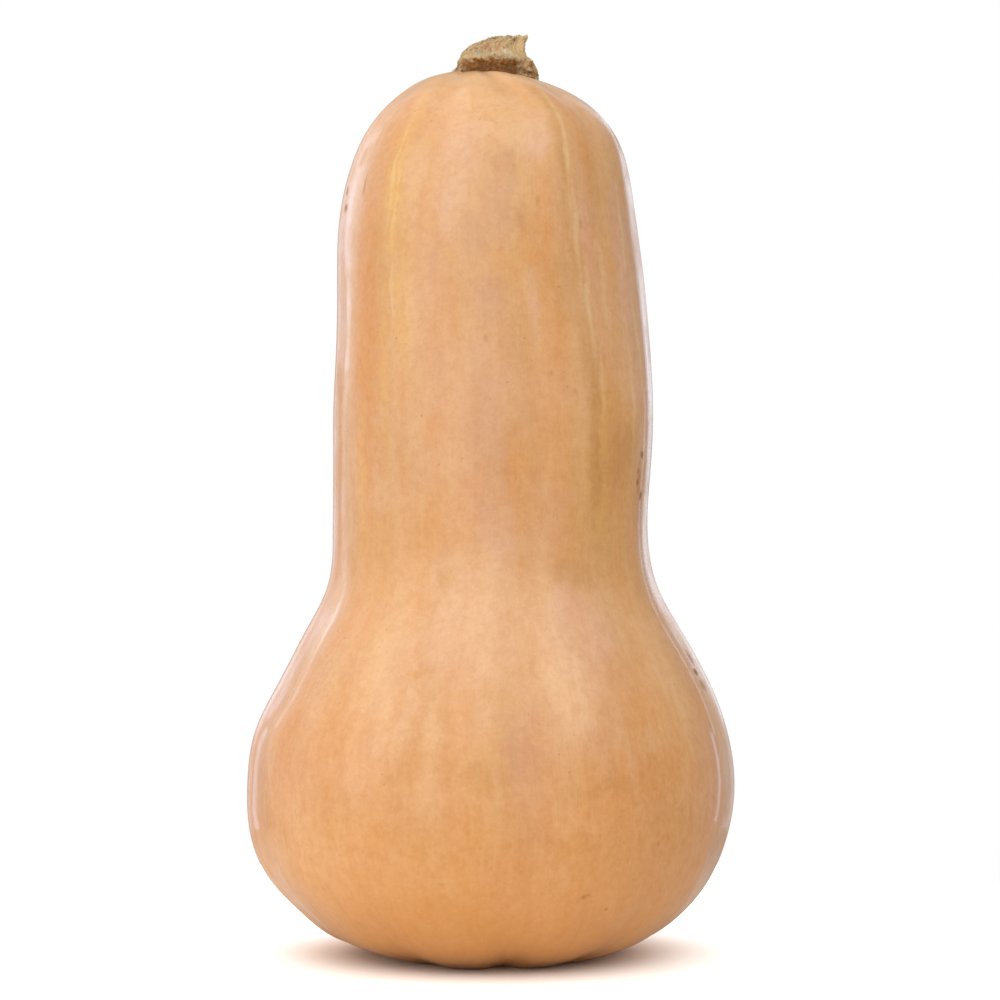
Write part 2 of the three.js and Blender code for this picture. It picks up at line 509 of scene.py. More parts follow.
class Specks(EffectGroup):
    """Small round specks, scattered one to a cell and kept where a cloud allows them.

    Attributes:
        smallest: Size of the smallest speck, in Radiuses. The largest is one Radius larger.
        core: Share of a speck that is full.
        gather: Noise at which the clouds that the specks lie in begin and are full.
    """

    name = "Specks"
    inputs = {
        "Where": (VECTOR, (0.0, 0.0, 0.0)),
        "Scale": (NUMBER, 200.0),
        "Radius": (NUMBER, 0.1),
        "Share": (NUMBER, 0.5),
        "Cloud Scale": (NUMBER, 25.0),
    }
    smallest = 0.35
    core = 0.5
    gather = (0.45, 0.6)

    def mask(self, bench: Bench, given: Any) -> bpy.types.NodeSocket:
        """Draws a dot near the middle of each cell, of its own size.

        Args:
            bench: The group's own bench.
            given: The group's inputs, by name.

        Returns:
            The mask.
        """
        cells = bench.node("ShaderNodeTexVoronoi", {"Vector": given["Where"], "Scale": given["Scale"]})
        draw = bench.node("ShaderNodeSeparateColor", {0: cells.outputs["Color"]})
        radius = bench.math("MULTIPLY", given["Radius"], bench.math("ADD", draw.outputs[0], self.smallest))
        dot = bench.remap(cells.outputs["Distance"], radius, bench.math("MULTIPLY", radius, self.core))
        chosen = bench.math("LESS_THAN", draw.outputs[1], given["Share"])
        cloud = bench.remap(bench.noise(given["Where"], given["Cloud Scale"]), *self.gather)
        return bench.math("MULTIPLY", bench.math("MULTIPLY", dot, chosen), cloud)


@dataclass(frozen=True)
class Effects:
    """The node groups that the finishes share.

    Attributes:
        streaks: Streaks along a piece.
        blotches: Blotches with no direction.
        patch: One soft patch.
        specks: Small round specks.
    """

    streaks: Streaks
    blotches: Blotches
    patch: Patch
    specks: Specks


# ---------------------------------------------------------------- Paint


class Paint:
    """Lays colours over one another in one material.

    Attributes:
        made: The material.
        bench: Its bench.
        effects: The shared node groups.
        length: Length of the piece, in metres, for places that are counted down from its top.
        where: Coordinates in space.
        flow: Coordinates round and along the piece.
        tone: The colour so far.
    """

    def __init__(self, name: str, effects: Effects, ground: str, length: float = 0.0) -> None:
        """Starts a material.

        Args:
            name: Its name.
            effects: The shared node groups.
            ground: Its first colour.
            length: Length of the piece, in metres.
        """
        self.made = bpy.data.materials.new(name)
        self.made.use_nodes = True
        self.made.node_tree.nodes.clear()
        self.bench = Bench(self.made.node_tree)
        self.effects = effects
        self.length = length
        self.where = self.bench.node("ShaderNodeTexCoord").outputs["Object"]
        self.flow = self.bench.node("ShaderNodeAttribute", attribute_name="flow").outputs["Vector"]
        self.tone: Any = colour(ground)

    def along(self) -> bpy.types.NodeSocket:
        """Reads how far along the piece a point is, in metres."""
        return self.bench.node("ShaderNodeSeparateXYZ", {0: self.flow}).outputs["Z"]

    def lay(self, mask: Any, share: Any, shade: str) -> None:
        """Colours what a mask covers, by a share."""
        self.tone = self.bench.mix(self.bench.math("MULTIPLY", mask, share), self.tone, colour(shade))

    def add(self, layers: "Sequence[Layer]", strength: Any = 1.0) -> None:
        """Lays layers over one another.

        Args:
            layers: The layers, the lowest of them first.
            strength: A mask that makes all of them stronger or weaker.
        """
        for layer in layers:
            share = self.bench.math("MULTIPLY", strength, layer.share)
            self.lay(layer.pattern.mask(self), share, layer.shade)

    def strength(self, ramps: "Sequence[Ramp]") -> Any:
        """Multiplies ramps along the piece.

        Args:
            ramps: The ramps.

        Returns:
            How strong all of them together leave an effect.
        """
        product: Any = 1.0
        for ramp in ramps:
            product = self.bench.math("MULTIPLY", product, ramp.mask(self, self.along()))
        return product

    def relief(self, steps: "Sequence[tuple[Rise, Any]]") -> bpy.types.NodeSocket:
        """Raises the surface in steps, each on top of the one before.

        Args:
            steps: How each step rises, and its mask.

        Returns:
            The normal.
        """
        below: dict[str | int, Any] = {}
        for rise, mask in steps:
            sockets = {"Strength": rise.strength, "Distance": rise.height * MM, "Height": mask, **below}
            below = {"Normal": self.bench.node("ShaderNodeBump", sockets).outputs[0]}
        return below["Normal"]

    def finish(self, sockets: dict[str | int, Any]) -> bpy.types.Material:
        """Ends the material.

        Args:
            sockets: What its shader takes besides the colour.

        Returns:
            The material.
        """
        shader = self.bench.node("ShaderNodeBsdfPrincipled", {"Base Color": self.tone, **sockets})
        self.bench.node("ShaderNodeOutputMaterial", {"Surface": shader.outputs[0]})
        return self.made


@dataclass(frozen=True)
class Grain:
    """Plain cloudy noise.

    Attributes:
        scale: Clouds in one metre.
        detail: How many finer layers it has.
        roughness: How strong those layers are.
    """

    scale: float
    detail: float
    roughness: float = 0.5

    def noise(self, paint: Paint) -> bpy.types.NodeSocket:
        """Reads the noise on a piece, from 0 to 1."""
        return paint.bench.noise(paint.where, self.scale, self.detail, self.roughness)

    def swing(self, paint: Paint, reach: float) -> bpy.types.NodeSocket:
        """Reads the noise as a push to either side, for a reach in millimetres."""
        return paint.bench.math("MULTIPLY", paint.bench.math("SUBTRACT", self.noise(paint), 0.5), reach * MM)


@dataclass(frozen=True)
class Cloud:
    """Cloudy blotches.

    Attributes:
        scale: How many lie across one metre.
        low: Noise at which they begin.
        high: Noise at which they are full.
        detail: How many finer layers they have.
        rise: How many lie up one metre, as a share of those across it.
    """

    scale: float
    low: float
    high: float
    detail: float = 3.0
    rise: float = 1.0

    def mask(self, paint: Paint) -> bpy.types.NodeSocket:
        """Makes their mask on a piece.

        Args:
            paint: The piece's paint.

        Returns:
            The mask.
        """
        where = paint.bench.vector("MULTIPLY", paint.where, (1.0, 1.0, self.rise))
        sizes = {"Scale": self.scale, "Detail": self.detail, "Low": self.low, "High": self.high}
        return paint.bench.effect(paint.effects.blotches, Where=where, **sizes)


@dataclass(frozen=True)
class Streak:
    """Streaks that run along the piece.

    Attributes:
        around: How many lie across one radius of it.
        along: How many follow one another in one metre of it.
        shift: How far their noise is moved, so that no two layers look alike.
        low: Noise at which they begin.
        high: Noise at which they are full.
        detail: How many finer layers they have.
    """

    around: float
    along: float
    shift: float
    low: float
    high: float
    detail: float = 2.0

    def mask(self, paint: Paint) -> bpy.types.NodeSocket:
        """Makes their mask on a piece.

        Args:
            paint: The piece's paint.

        Returns:
            The mask.
        """
        places = {"Around": self.around, "Along": self.along, "Shift": self.shift}
        sizes = {"Detail": self.detail, "Low": self.low, "High": self.high}
        return paint.bench.effect(paint.effects.streaks, Flow=paint.flow, **places, **sizes)


@dataclass(frozen=True)
class Scatter:
    """Small round specks.

    Attributes:
        scale: Cells in one metre, each with one speck at most.
        radius: Size of a speck, as a share of its cell.
        kept: Share of the cells that have one.
        cloud_scale: Clouds in one metre, in which the specks gather.
    """

    scale: float
    radius: float
    kept: float
    cloud_scale: float

    def mask(self, paint: Paint) -> bpy.types.NodeSocket:
        """Makes their mask on a piece.

        Args:
            paint: The piece's paint.

        Returns:
            The mask.
        """
        sizes = {"Scale": self.scale, "Radius": self.radius, "Share": self.kept}
        return paint.bench.effect(
            paint.effects.specks, Where=paint.where, Cloud_Scale=self.cloud_scale, **sizes
        )


@dataclass(frozen=True)
class Layer:
    """One colour in one pattern.

    Attributes:
        shade: The colour.
        share: How strongly it colours the piece.
        pattern: Where it lies.
    """

    shade: str
    share: float
    pattern: Cloud | Streak | Scatter


@dataclass(frozen=True)
class Pull:
    """Noise that pulls the flow coordinates about, so that streaks wander and patches get ragged edges.

    Attributes:
        scale: Pulls in one metre.
        around: How far it pulls them round the piece, in radiuses.
        along: How far it pulls them along the piece, in metres.
        detail: How many finer layers it has.
    """

    scale: float
    around: float
    along: float
    detail: float = 4.0

    def flow(self, paint: Paint) -> bpy.types.NodeSocket:
        """Pulls the coordinates.

        Args:
            paint: The piece's paint.

        Returns:
            The pulled coordinates.
        """
        bench = paint.bench
        sockets = {"Vector": paint.where, "Scale": self.scale, "Detail": self.detail}
        centred = bench.vector(
            "SUBTRACT", bench.node("ShaderNodeTexNoise", sockets).outputs["Color"], (0.5, 0.5, 0.5)
        )
        pull = bench.vector("MULTIPLY", centred, (self.around, self.around, self.along))
        return bench.vector("ADD", paint.flow, pull)


@dataclass(frozen=True)
class Ramp:
    """A strength that changes smoothly along a piece.

    Attributes:
        start: Where it starts to change, in millimetres.
        end: Where it stops changing, in millimetres.
        before: Strength at the start.
        after: Strength at the end.
        from_top: Whether the places are counted down from the top of the piece.
    """

    start: float
    end: float
    before: float = 0.0
    after: float = 1.0
    from_top: bool = False

    def mask(self, paint: Paint, along: Any) -> bpy.types.NodeSocket:
        """Makes its mask on a piece.

        Args:
            paint: The piece's paint.
            along: How far along the piece a point is, in metres.

        Returns:
            The mask.
        """
        places = [self.start * MM, self.end * MM]
        if self.from_top:
            places = [paint.length - place for place in places]
        return paint.bench.remap(along, *places, self.before, self.after)


@dataclass(frozen=True)
class Rise:
    """How a surface rises where a mask is full.

    Attributes:
        strength: How strongly the light shows it.
        height: How high it rises, in millimetres.
    """

    strength: float
    height: float


@dataclass(frozen=True)
class Marking:
    """A soft patch at one place.

    Attributes:
        degrees: Its middle, round the squash.
        height: Its middle, in millimetres up.
        half_turn: Half its width, in degrees round the squash.
        half_height: Half its height, in millimetres.
        strength: How strongly it colours the piece.
    """

    degrees: float
    height: float
    half_turn: float
    half_height: float
    strength: float

    def mask(
        self, paint: Paint, flow: Any, grain: Any, along_at: Callable[[float], float]
    ) -> bpy.types.NodeSocket:
        """Makes its mask on a piece.

        Args:
            paint: The piece's paint.
            flow: Coordinates round and along the piece.
            grain: Noise that breaks up its edge.
            along_at: Gives the last of those coordinates at a height in millimetres.

        Returns:
            The mask.
        """
        angle, turn = math.radians(self.degrees), 1 / math.radians(self.half_turn)
        low, high = along_at(self.height - self.half_height), along_at(self.height + self.half_height)
        return paint.bench.effect(
            paint.effects.patch,
            Flow=flow,
            Middle=(math.cos(angle), math.sin(angle), (low + high) / 2),
            Spread=(turn, turn, 2 / (high - low)),
            Grain=grain,
            Strength=self.strength,
        )


# ---------------------------------------------------------------- Skin


class Tone(Enum):
    """Colours that the skin takes in patches, from the lowest layer."""

    AMBER = "#c48038"
    HONEY = "#cf9b4b"
    ROSE = "#cc9e84"
    PEACH = "#d3a87c"
    RUST = "#ad6e34"
    OLIVE = "#ae7a34"
    CREAM = "#dabe8a"
    MAUVE = "#b27f63"
    COPPER = "#a5692a"
    BARK = "#66300f"


SCARS = (Tone.COPPER, Tone.BARK)
"""The tones of small scars, whose edges are crisp. The skin has no wax where it is bark."""

# Most markings are the skin's own patches; the few noted where they stand are painted light and painted
# shade.
MARKINGS: dict[Tone, tuple[Marking, ...]] = {
    Tone.AMBER: (
        Marking(-52, 158, 10, 54, 0.9),
        Marking(-53, 186, 6, 24, 0.7),
        Marking(-45, 200, 4, 18, 0.5),
        Marking(-42, 213, 12, 12, 0.5),
        Marking(-44, 86, 6, 14, 0.5),
        Marking(-52, 88, 7, 12, 0.6),
        Marking(-57, 56, 8, 24, 0.6),
        Marking(43, 205, 5, 6, 0.5),
        Marking(39, 48, 10, 8, 0.6),
        Marking(-40, 62, 12, 20, 0.5),
        Marking(-52, 49, 10, 8, 0.5),
        Marking(41, 66, 10, 14, 0.45),
        Marking(43, 52, 14, 8, 0.6),
        Marking(-21, 137, 5, 6, 0.4),
        Marking(7, 128, 4.5, 5.5, 0.55),
        Marking(15, 180, 5, 6, 0.55),
        Marking(4, 176, 9, 10, 0.3),
        Marking(23, 186, 4, 16, 0.45),
        Marking(25, 160, 4, 18, 0.5),
        # Painted shade on the lower right of the bulb.
        Marking(28, 36, 18, 20, 0.5),
        Marking(125, 60, 30, 30, 0.5),
        Marking(100, 190, 10, 30, 0.5),
        Marking(170, 60, 20, 20, 0.5),
        Marking(-150, 150, 14, 60, 0.6),
        Marking(-100, 90, 14, 30, 0.5),
    ),
    Tone.HONEY: (
        Marking(-39, 199, 6, 26, 0.8),
        Marking(-33, 168, 6, 20, 0.5),
        Marking(-41, 150, 3, 40, 0.4),
        Marking(-54, 123, 4, 20, 0.5),
        Marking(42, 128, 4, 24, 0.4),
        Marking(54, 134, 6, 20, 0.35),
        Marking(100, 150, 4, 60, 0.5),
        Marking(170, 170, 4, 50, 0.5),
        Marking(-95, 180, 4, 40, 0.5),
    ),
    Tone.ROSE: (
        Marking(-12, 206, 12, 12, 0.5),
        Marking(19, 207, 7, 9, 0.6),
        Marking(-14, 194, 8, 16, 0.5),
        Marking(-22, 172, 10, 22, 0.3),
        Marking(16, 166, 3, 12, 0.5),
        Marking(40, 186, 6, 20, 0.4),
        # The next two patches are painted light: a pink highlight down the right of the neck.
        Marking(60, 178, 8, 24, 0.6),
        Marking(58, 150, 8, 14, 0.4),
        Marking(20, 112, 9, 14, 0.3),
        Marking(3, 106, 8, 12, 0.5),
        Marking(30, 88, 13, 17, 0.45),
        Marking(-8, 84, 18, 20, 0.5),
        Marking(-120, 120, 25, 30, 0.5),
        Marking(140, 200, 20, 20, 0.5),
        Marking(-160, 60, 20, 25, 0.5),
    ),
    Tone.PEACH: (
        # The next two patches are painted light: a soft highlight from above on the top of the bulb.
        Marking(18, 72, 9, 18, 0.6),
        Marking(0, 88, 24, 20, 0.4),
        Marking(-42, 30, 24, 14, 0.4),
        Marking(14, 212, 22, 10, 0.35),
        # Painted light on the right shoulder of the bulb.
        Marking(56, 78, 10, 22, 0.4),
        Marking(-30, 76, 10, 18, 0.55),
        Marking(-14, 49, 5, 8, 0.4),
        Marking(-38, 28, 5, 8, 0.45),
        Marking(-16, 196, 9, 16, 0.2),
        Marking(31, 30, 6, 11, 0.35),
        Marking(0, 138, 4, 6, 0.4),
        Marking(-27, 60, 9, 14, 0.25),
        Marking(-33, 38, 2.5, 26, 0.4),
        Marking(40, 33, 6, 10, 0.25),
        Marking(-30, 200, 7, 14, 0.3),
        Marking(-130, 84, 25, 18, 0.5),
        Marking(1, 48, 1.8, 9, 0.5),
        Marking(12.5, 25, 3, 5, 0.15),
        Marking(-13, 62, 3.5, 9, 0.5),
    ),
    Tone.RUST: (
        Marking(51, 130, 10, 12, 0.5),
        Marking(-34, 213, 16, 12, 0.22),
        Marking(64, 118, 5, 14, 0.5),
        Marking(13, 189, 2.4, 6, 0.4),
        Marking(8, 201, 5, 4, 0.3),
        Marking(37.5, 136, 2.5, 26, 0.4),
        Marking(11, 28, 3, 6, 0.4),
        Marking(27, 47, 3, 3, 0.45),
        Marking(-170, 120, 10, 12, 0.5),
        Marking(13, 50, 9, 22, 0.3),
        Marking(-27, 78, 4, 9, 0.25),
        Marking(27, 54, 4, 10, 0.25),
    ),
    Tone.OLIVE: (
        Marking(31, 199, 4, 24, 0.5),
        Marking(30, 170, 8, 12, 0.6),
        Marking(37, 150, 4, 30, 0.5),
        Marking(30, 101, 11, 5, 0.6),
        Marking(-3, 50, 7, 5, 0.45),
        Marking(-11, 43, 7, 4, 0.35),
        Marking(-2, 15, 16, 4, 0.55),
        Marking(20, 15, 12, 6, 0.4),
        Marking(25, 46, 12, 2.5, 0.45),
        # Painted shade on the lower right of the bulb.
        Marking(46, 30, 14, 20, 0.5),
        Marking(9, 35, 5, 10, 0.5),
        Marking(0, 15, 9, 3, 0.5),
        Marking(6, 20, 36, 7, 0.4),
        Marking(26, 30, 20, 9, 0.35),
        Marking(34, 178, 5, 11, 0.6),
        Marking(34, 154, 3.5, 11, 0.6),
        Marking(38, 126, 4, 15, 0.6),
        Marking(150, 104, 14, 7, 0.6),
    ),
    Tone.CREAM: (
        Marking(33, 205, 1.6, 18, 0.5),
        Marking(35, 184, 1.8, 16, 0.4),
        Marking(38, 163, 1.6, 14, 0.4),
        Marking(41, 148, 1.4, 14, 0.25),
        Marking(46, 172, 2, 15, 0.3),
        Marking(-40.5, 199, 1, 22, 0.3),
        Marking(-37.5, 180, 1, 30, 0.25),
        Marking(62, 184, 1.6, 14, 0.55),
        Marking(65, 160, 1.6, 16, 0.5),
        Marking(57, 150, 1.2, 22, 0.35),
        Marking(-110, 170, 1.5, 30, 0.4),
    ),
    Tone.MAUVE: (
        Marking(8, 54, 6, 12, 0.4),
        Marking(-58, 50, 18, 46, 0.22),
        Marking(10, 38, 5, 10, 0.3),
        Marking(6, 196, 7, 12, 0.35),
        Marking(-2, 166, 9, 11, 0.55),
        Marking(5, 200, 9, 8, 0.35),
        Marking(3, 190, 10, 10, 0.45),
        Marking(-2, 134, 9, 28, 0.5),
        Marking(-6, 184, 8, 9, 0.45),
        Marking(3, 150, 12, 24, 0.25),
    ),
    Tone.COPPER: (
        Marking(19.5, 192.5, 0.9, 1.7, 0.5),
        Marking(20.5, 149.5, 0.9, 0.9, 0.55),
        Marking(-2.5, 158, 0.9, 0.9, 0.5),
        Marking(37.5, 187.5, 0.8, 1.6, 0.5),
        Marking(39, 161.5, 0.7, 2.4, 0.35),
        Marking(29, 145, 1.4, 0.9, 0.35),
        Marking(16.5, 203, 0.9, 0.8, 0.4),
    ),
    Tone.BARK: (
        Marking(64.5, 129.5, 2, 1.2, 0.85),
        Marking(62, 125.5, 1.5, 1, 0.6),
        Marking(62, 122.5, 1.4, 1, 0.8),
        Marking(66, 119, 1.6, 1.3, 0.85),
        Marking(63, 124.5, 1.5, 6.5, 0.25),
        Marking(74, 74, 2.6, 1.1, 0.9),
        Marking(74.5, 70.5, 3, 2, 0.55),
        Marking(76, 77.5, 2.5, 2.4, 0.6),
        Marking(-73.5, 193, 2.5, 1.3, 0.75),
        Marking(-76.5, 197.5, 2.5, 1.3, 0.6),
        Marking(-58, 198, 1, 3, 0.4),
        Marking(23, 21.5, 0.9, 0.8, 0.9),
        Marking(24, 22, 0.9, 0.5, 0.6),
        Marking(30, 18, 0.9, 0.5, 0.9),
        Marking(42, 33.5, 0.8, 1, 0.5),
        Marking(-11, 25, 0.8, 0.6, 0.5),
    ),
}


@dataclass(frozen=True)
class SkinFinish:
    """Smooth waxy skin: buff, with long soft streaks, clouds of amber and rose, fine pores and a few specks.

    Attributes:
        buff: Colour of the ground.
        deep: Colour that it deepens to at the blossom end: partly the skin's own deeper orange, partly
            painted shade low on the fruit.
        crown: Colour that it pales to at the top: painted light from above.
        cork: Colour of the blossom scar, and of the skin under the stalk.
        ragged: Pull on the edges of the markings.
        crisp: Pull on the edges of small scars.
        wander: Pull on everything else.
        edges: Noise that breaks up the edges of the markings.
        ground: Broad bands of tan and amber, and clouds of rose, amber and peach.
        lines: Fine streaks and hairlines.
        line_ramps: How the lines weaken up the fruit.
        mottles: Fine mottling.
        mottle_ramps: How it strengthens low on the fruit.
        pores: Noise of the pores.
        pore_levels: Noise at which they are darkest and palest.
        pore_shades: What they multiply the colour by there.
        specks: Freckles, and a few larger specks.
        end_edges: Noise that makes the edges of the cork ragged.
        end_swing: How far it moves them, in millimetres.
        deep_and_shaded_end: Where the deeper colour, partly painted shade, comes in.
        lit_crown_end: Where the painted light on the crown comes in.
        scar_end: Where the cork of the blossom scar comes in.
        seat_end: Where the cork under the stalk comes in.
        sheen: Clouds over which the gloss changes.
        roughness: How rough the skin is outside those clouds and in them.
        coat: How much wax it has outside those clouds and in them.
        coat_roughness: How rough the wax is.
        scar_roughness: How much rougher a dark scar is.
        refraction: Index of refraction of the skin.
        ribs: Raised streaks.
        fine_ribs: Finer raised streaks.
        fine_share: How high these are, as a share of the others.
        rib_ramps: How both weaken up the fruit.
        rib_rise: How they rise.
        peel: Noise of an uneven skin, like orange peel.
        peel_rise: How it rises.
        pits: Small pits.
        pit_rise: How the skin rises between them.
    """

    buff: str = "#c7965d"
    deep: str = "#c8833b"
    crown: str = "#e2bb90"
    cork: str = "#7d603b"
    ragged: Pull = Pull(scale=70.0, around=0.11, along=0.015)
    crisp: Pull = Pull(scale=600.0, around=0.015, along=0.0006)
    wander: Pull = Pull(scale=28.0, around=0.09, along=0.0)
    edges: Grain = Grain(scale=190.0, detail=5.0, roughness=0.65)
    ground: tuple[Layer, ...] = (
        Layer("#bd884d", 1.0, Streak(around=2.6, along=5.0, shift=0.0, low=0.38, high=0.62)),
        Layer(Tone.AMBER.value, 0.35, Streak(around=5.0, along=9.0, shift=4.0, low=0.46, high=0.66)),
        Layer(Tone.ROSE.value, 0.3, Cloud(scale=26.0, low=0.46, high=0.62, detail=5.0, rise=0.55)),
        Layer(Tone.AMBER.value, 0.25, Cloud(scale=64.0, low=0.5, high=0.64, detail=6.0, rise=0.55)),
        Layer(Tone.PEACH.value, 0.15, Cloud(scale=88.0, low=0.5, high=0.66, detail=5.0, rise=0.55)),
    )
    lines: tuple[Layer, ...] = (
        Layer("#c8833b", 0.1, Streak(around=18.0, along=16.0, shift=9.0, low=0.3, high=0.7)),
        Layer(Tone.CREAM.value, 0.13, Streak(around=45.0, along=22.0, shift=2.0, low=0.6, high=0.85)),
        Layer("#b06b28", 0.22, Streak(around=14.0, along=50.0, shift=7.0, low=0.42, high=0.62, detail=4.0)),
        Layer("#cf9f70", 0.14, Streak(around=27.0, along=170.0, shift=3.0, low=0.42, high=0.62, detail=4.0)),
        Layer("#b06b28", 0.12, Streak(around=40.0, along=420.0, shift=11.0, low=0.42, high=0.62, detail=4.0)),
    )
    line_ramps: tuple[Ramp, ...] = (Ramp(70, 25, 1.0, 0.3, from_top=True), Ramp(95, 130, 1.0, 0.45))
    mottles: tuple[Layer, ...] = (
        Layer("#cf9f72", 0.13, Cloud(scale=170.0, low=0.42, high=0.64, detail=4.0)),
        Layer("#ab6a2c", 0.17, Cloud(scale=420.0, low=0.42, high=0.64, detail=4.0)),
        Layer("#cf9f72", 0.14, Cloud(scale=700.0, low=0.42, high=0.64, detail=4.0)),
    )
    mottle_ramps: tuple[Ramp, ...] = (Ramp(100, 75, 1.0, 1.5),)
    pores: Grain = Grain(scale=1500.0, detail=2.0)
    pore_levels: tuple[float, float] = (0.25, 0.75)
    pore_shades: tuple[float, float] = (0.97, 1.025)
    specks: tuple[Layer, ...] = (
        Layer("#865224", 0.4, Scatter(scale=470.0, radius=0.15, kept=0.4, cloud_scale=45.0)),
        Layer("#644021", 0.7, Scatter(scale=60.0, radius=0.05, kept=0.25, cloud_scale=18.0)),
    )
    end_edges: Grain = Grain(scale=500.0, detail=3.0)
    end_swing: float = 4
    deep_and_shaded_end: Ramp = Ramp(112, 30, 0.0, 0.7)
    lit_crown_end: Ramp = Ramp(27, 16, 0.0, 0.3, from_top=True)
    scar_end: Ramp = Ramp(6.5, 4.5, 0.0, 0.9)
    seat_end: Ramp = Ramp(11, 9, 0.0, 0.25, from_top=True)
    sheen: Cloud = Cloud(scale=55.0, low=0.3, high=0.7)
    roughness: tuple[float, float] = (0.37, 0.49)
    coat: tuple[float, float] = (0.45, 0.25)
    coat_roughness: float = 0.1
    scar_roughness: float = 0.4
    refraction: float = 1.45
    ribs: Streak = Streak(around=30.0, along=9.0, shift=6.0, low=0.3, high=0.7)
    fine_ribs: Streak = Streak(around=75.0, along=12.0, shift=5.0, low=0.3, high=0.7)
    fine_share: float = 0.3
    rib_ramps: tuple[Ramp, ...] = (Ramp(70, 25, 1.0, 0.2, from_top=True), Ramp(95, 130, 1.0, 0.5))
    rib_rise: Rise = Rise(strength=0.6, height=0.08)
    peel: Grain = Grain(scale=420.0, detail=2.0)
    peel_rise: Rise = Rise(strength=0.4, height=0.05)
    pits: Scatter = Scatter(scale=700.0, radius=0.3, kept=0.5, cloud_scale=60.0)
    pit_rise: Rise = Rise(strength=0.5, height=0.04)

    def material(
        self, effects: Effects, along_at: Callable[[float], float], length: float
    ) -> bpy.types.Material:
        """Makes the skin's material.

        Args:
            effects: The shared node groups.
            along_at: Gives the length along the outline, in metres, at a height in millimetres.
            length: Length of the whole outline, in metres.

        Returns:
            The material.
        """
        paint = Paint("waxy_skin", effects, self.buff, length)
        bench = paint.bench
        ragged, crisp = self.ragged.flow(paint), self.crisp.flow(paint)
        paint.flow = self.wander.flow(paint)

        paint.add(self.ground)
        scars = self._markings(paint, ragged, crisp, along_at)
        self._fine_colour(paint)
        self._ends(paint)

        sheen = self.sheen.mask(paint)
        rough = bench.remap(sheen, 0.0, 1.0, *self.roughness)
        coat = bench.remap(sheen, 0.0, 1.0, *self.coat)
        return paint.finish(
            {
                "Roughness": bench.math("MULTIPLY_ADD", scars, self.scar_roughness, rough),
                "Coat Weight": bench.math("MULTIPLY", coat, bench.math("SUBTRACT", 1.0, scars)),
                "Coat Roughness": self.coat_roughness,
                "IOR": self.refraction,
                "Normal": self._relief(paint),
            }
        )

    def _markings(
        self, paint: Paint, ragged: Any, crisp: Any, along_at: Callable[[float], float]
    ) -> bpy.types.NodeSocket:
        """Lays the markings, one tone after another.

        Args:
            paint: The skin's paint.
            ragged: Flow coordinates for soft patches.
            crisp: Flow coordinates for small scars.
            along_at: Gives the length along the outline, in metres, at a height in millimetres.

        Returns:
            The mask of the dark scars.
        """
        grain = self.edges.noise(paint)
        masks: dict[Tone, Any] = dict.fromkeys(Tone, 0.0)
        for tone in Tone:
            flow = crisp if tone in SCARS else ragged
            for mark in MARKINGS[tone]:
                mask = mark.mask(paint, flow, grain, along_at)
                masks[tone] = paint.bench.math("MAXIMUM", masks[tone], mask)
            paint.lay(masks[tone], 1.0, tone.value)
        return masks[Tone.BARK]

    def _fine_colour(self, paint: Paint) -> None:
        """Adds fine streaks, hairlines, mottling, pores and specks.

        Args:
            paint: The skin's paint.
        """
        paint.add(self.lines, paint.strength(self.line_ramps))
        paint.add(self.mottles, paint.strength(self.mottle_ramps))
        shade = paint.bench.remap(self.pores.noise(paint), *self.pore_levels, *self.pore_shades)
        grey = paint.bench.node("ShaderNodeCombineColor", {0: shade, 1: shade, 2: shade}).outputs[0]
        paint.tone = paint.bench.mix(1.0, paint.tone, grey, "MULTIPLY")
        paint.add(self.specks)

    def _ends(self, paint: Paint) -> None:
        """Deepens the blossom end, partly with painted shade, pales the crown with painted light from above,
        and corks the blossom scar and the skin under the stalk.

        Args:
            paint: The skin's paint.
        """
        along = paint.along()
        ragged = paint.bench.math("ADD", along, self.end_edges.swing(paint, self.end_swing))
        # Deeper orange towards the blossom end: partly the skin's own colour, partly painted shade low on the
        # fruit.
        paint.lay(self.deep_and_shaded_end.mask(paint, along), 1.0, self.deep)
        # Paler crown: painted light from above.
        paint.lay(self.lit_crown_end.mask(paint, along), 1.0, self.crown)
        paint.lay(self.scar_end.mask(paint, ragged), 1.0, self.cork)
        paint.lay(self.seat_end.mask(paint, ragged), 1.0, self.cork)

    def _relief(self, paint: Paint) -> bpy.types.NodeSocket:
        """Raises faint ribs and an uneven peel, and presses in pits.

        Args:
            paint: The skin's paint.

        Returns:
            The normal.
        """
        bench = paint.bench
        fine = bench.math("MULTIPLY", self.fine_ribs.mask(paint), self.fine_share)
        ribs = bench.math("ADD", self.ribs.mask(paint), fine)
        ribs = bench.math("MULTIPLY", paint.strength(self.rib_ramps), ribs)
        between = bench.math("SUBTRACT", 1.0, self.pits.mask(paint))
        steps = [(self.rib_rise, ribs), (self.peel_rise, self.peel.noise(paint)), (self.pit_rise, between)]
        return paint.relief(steps)


# ---------------------------------------------------------------- Fruit


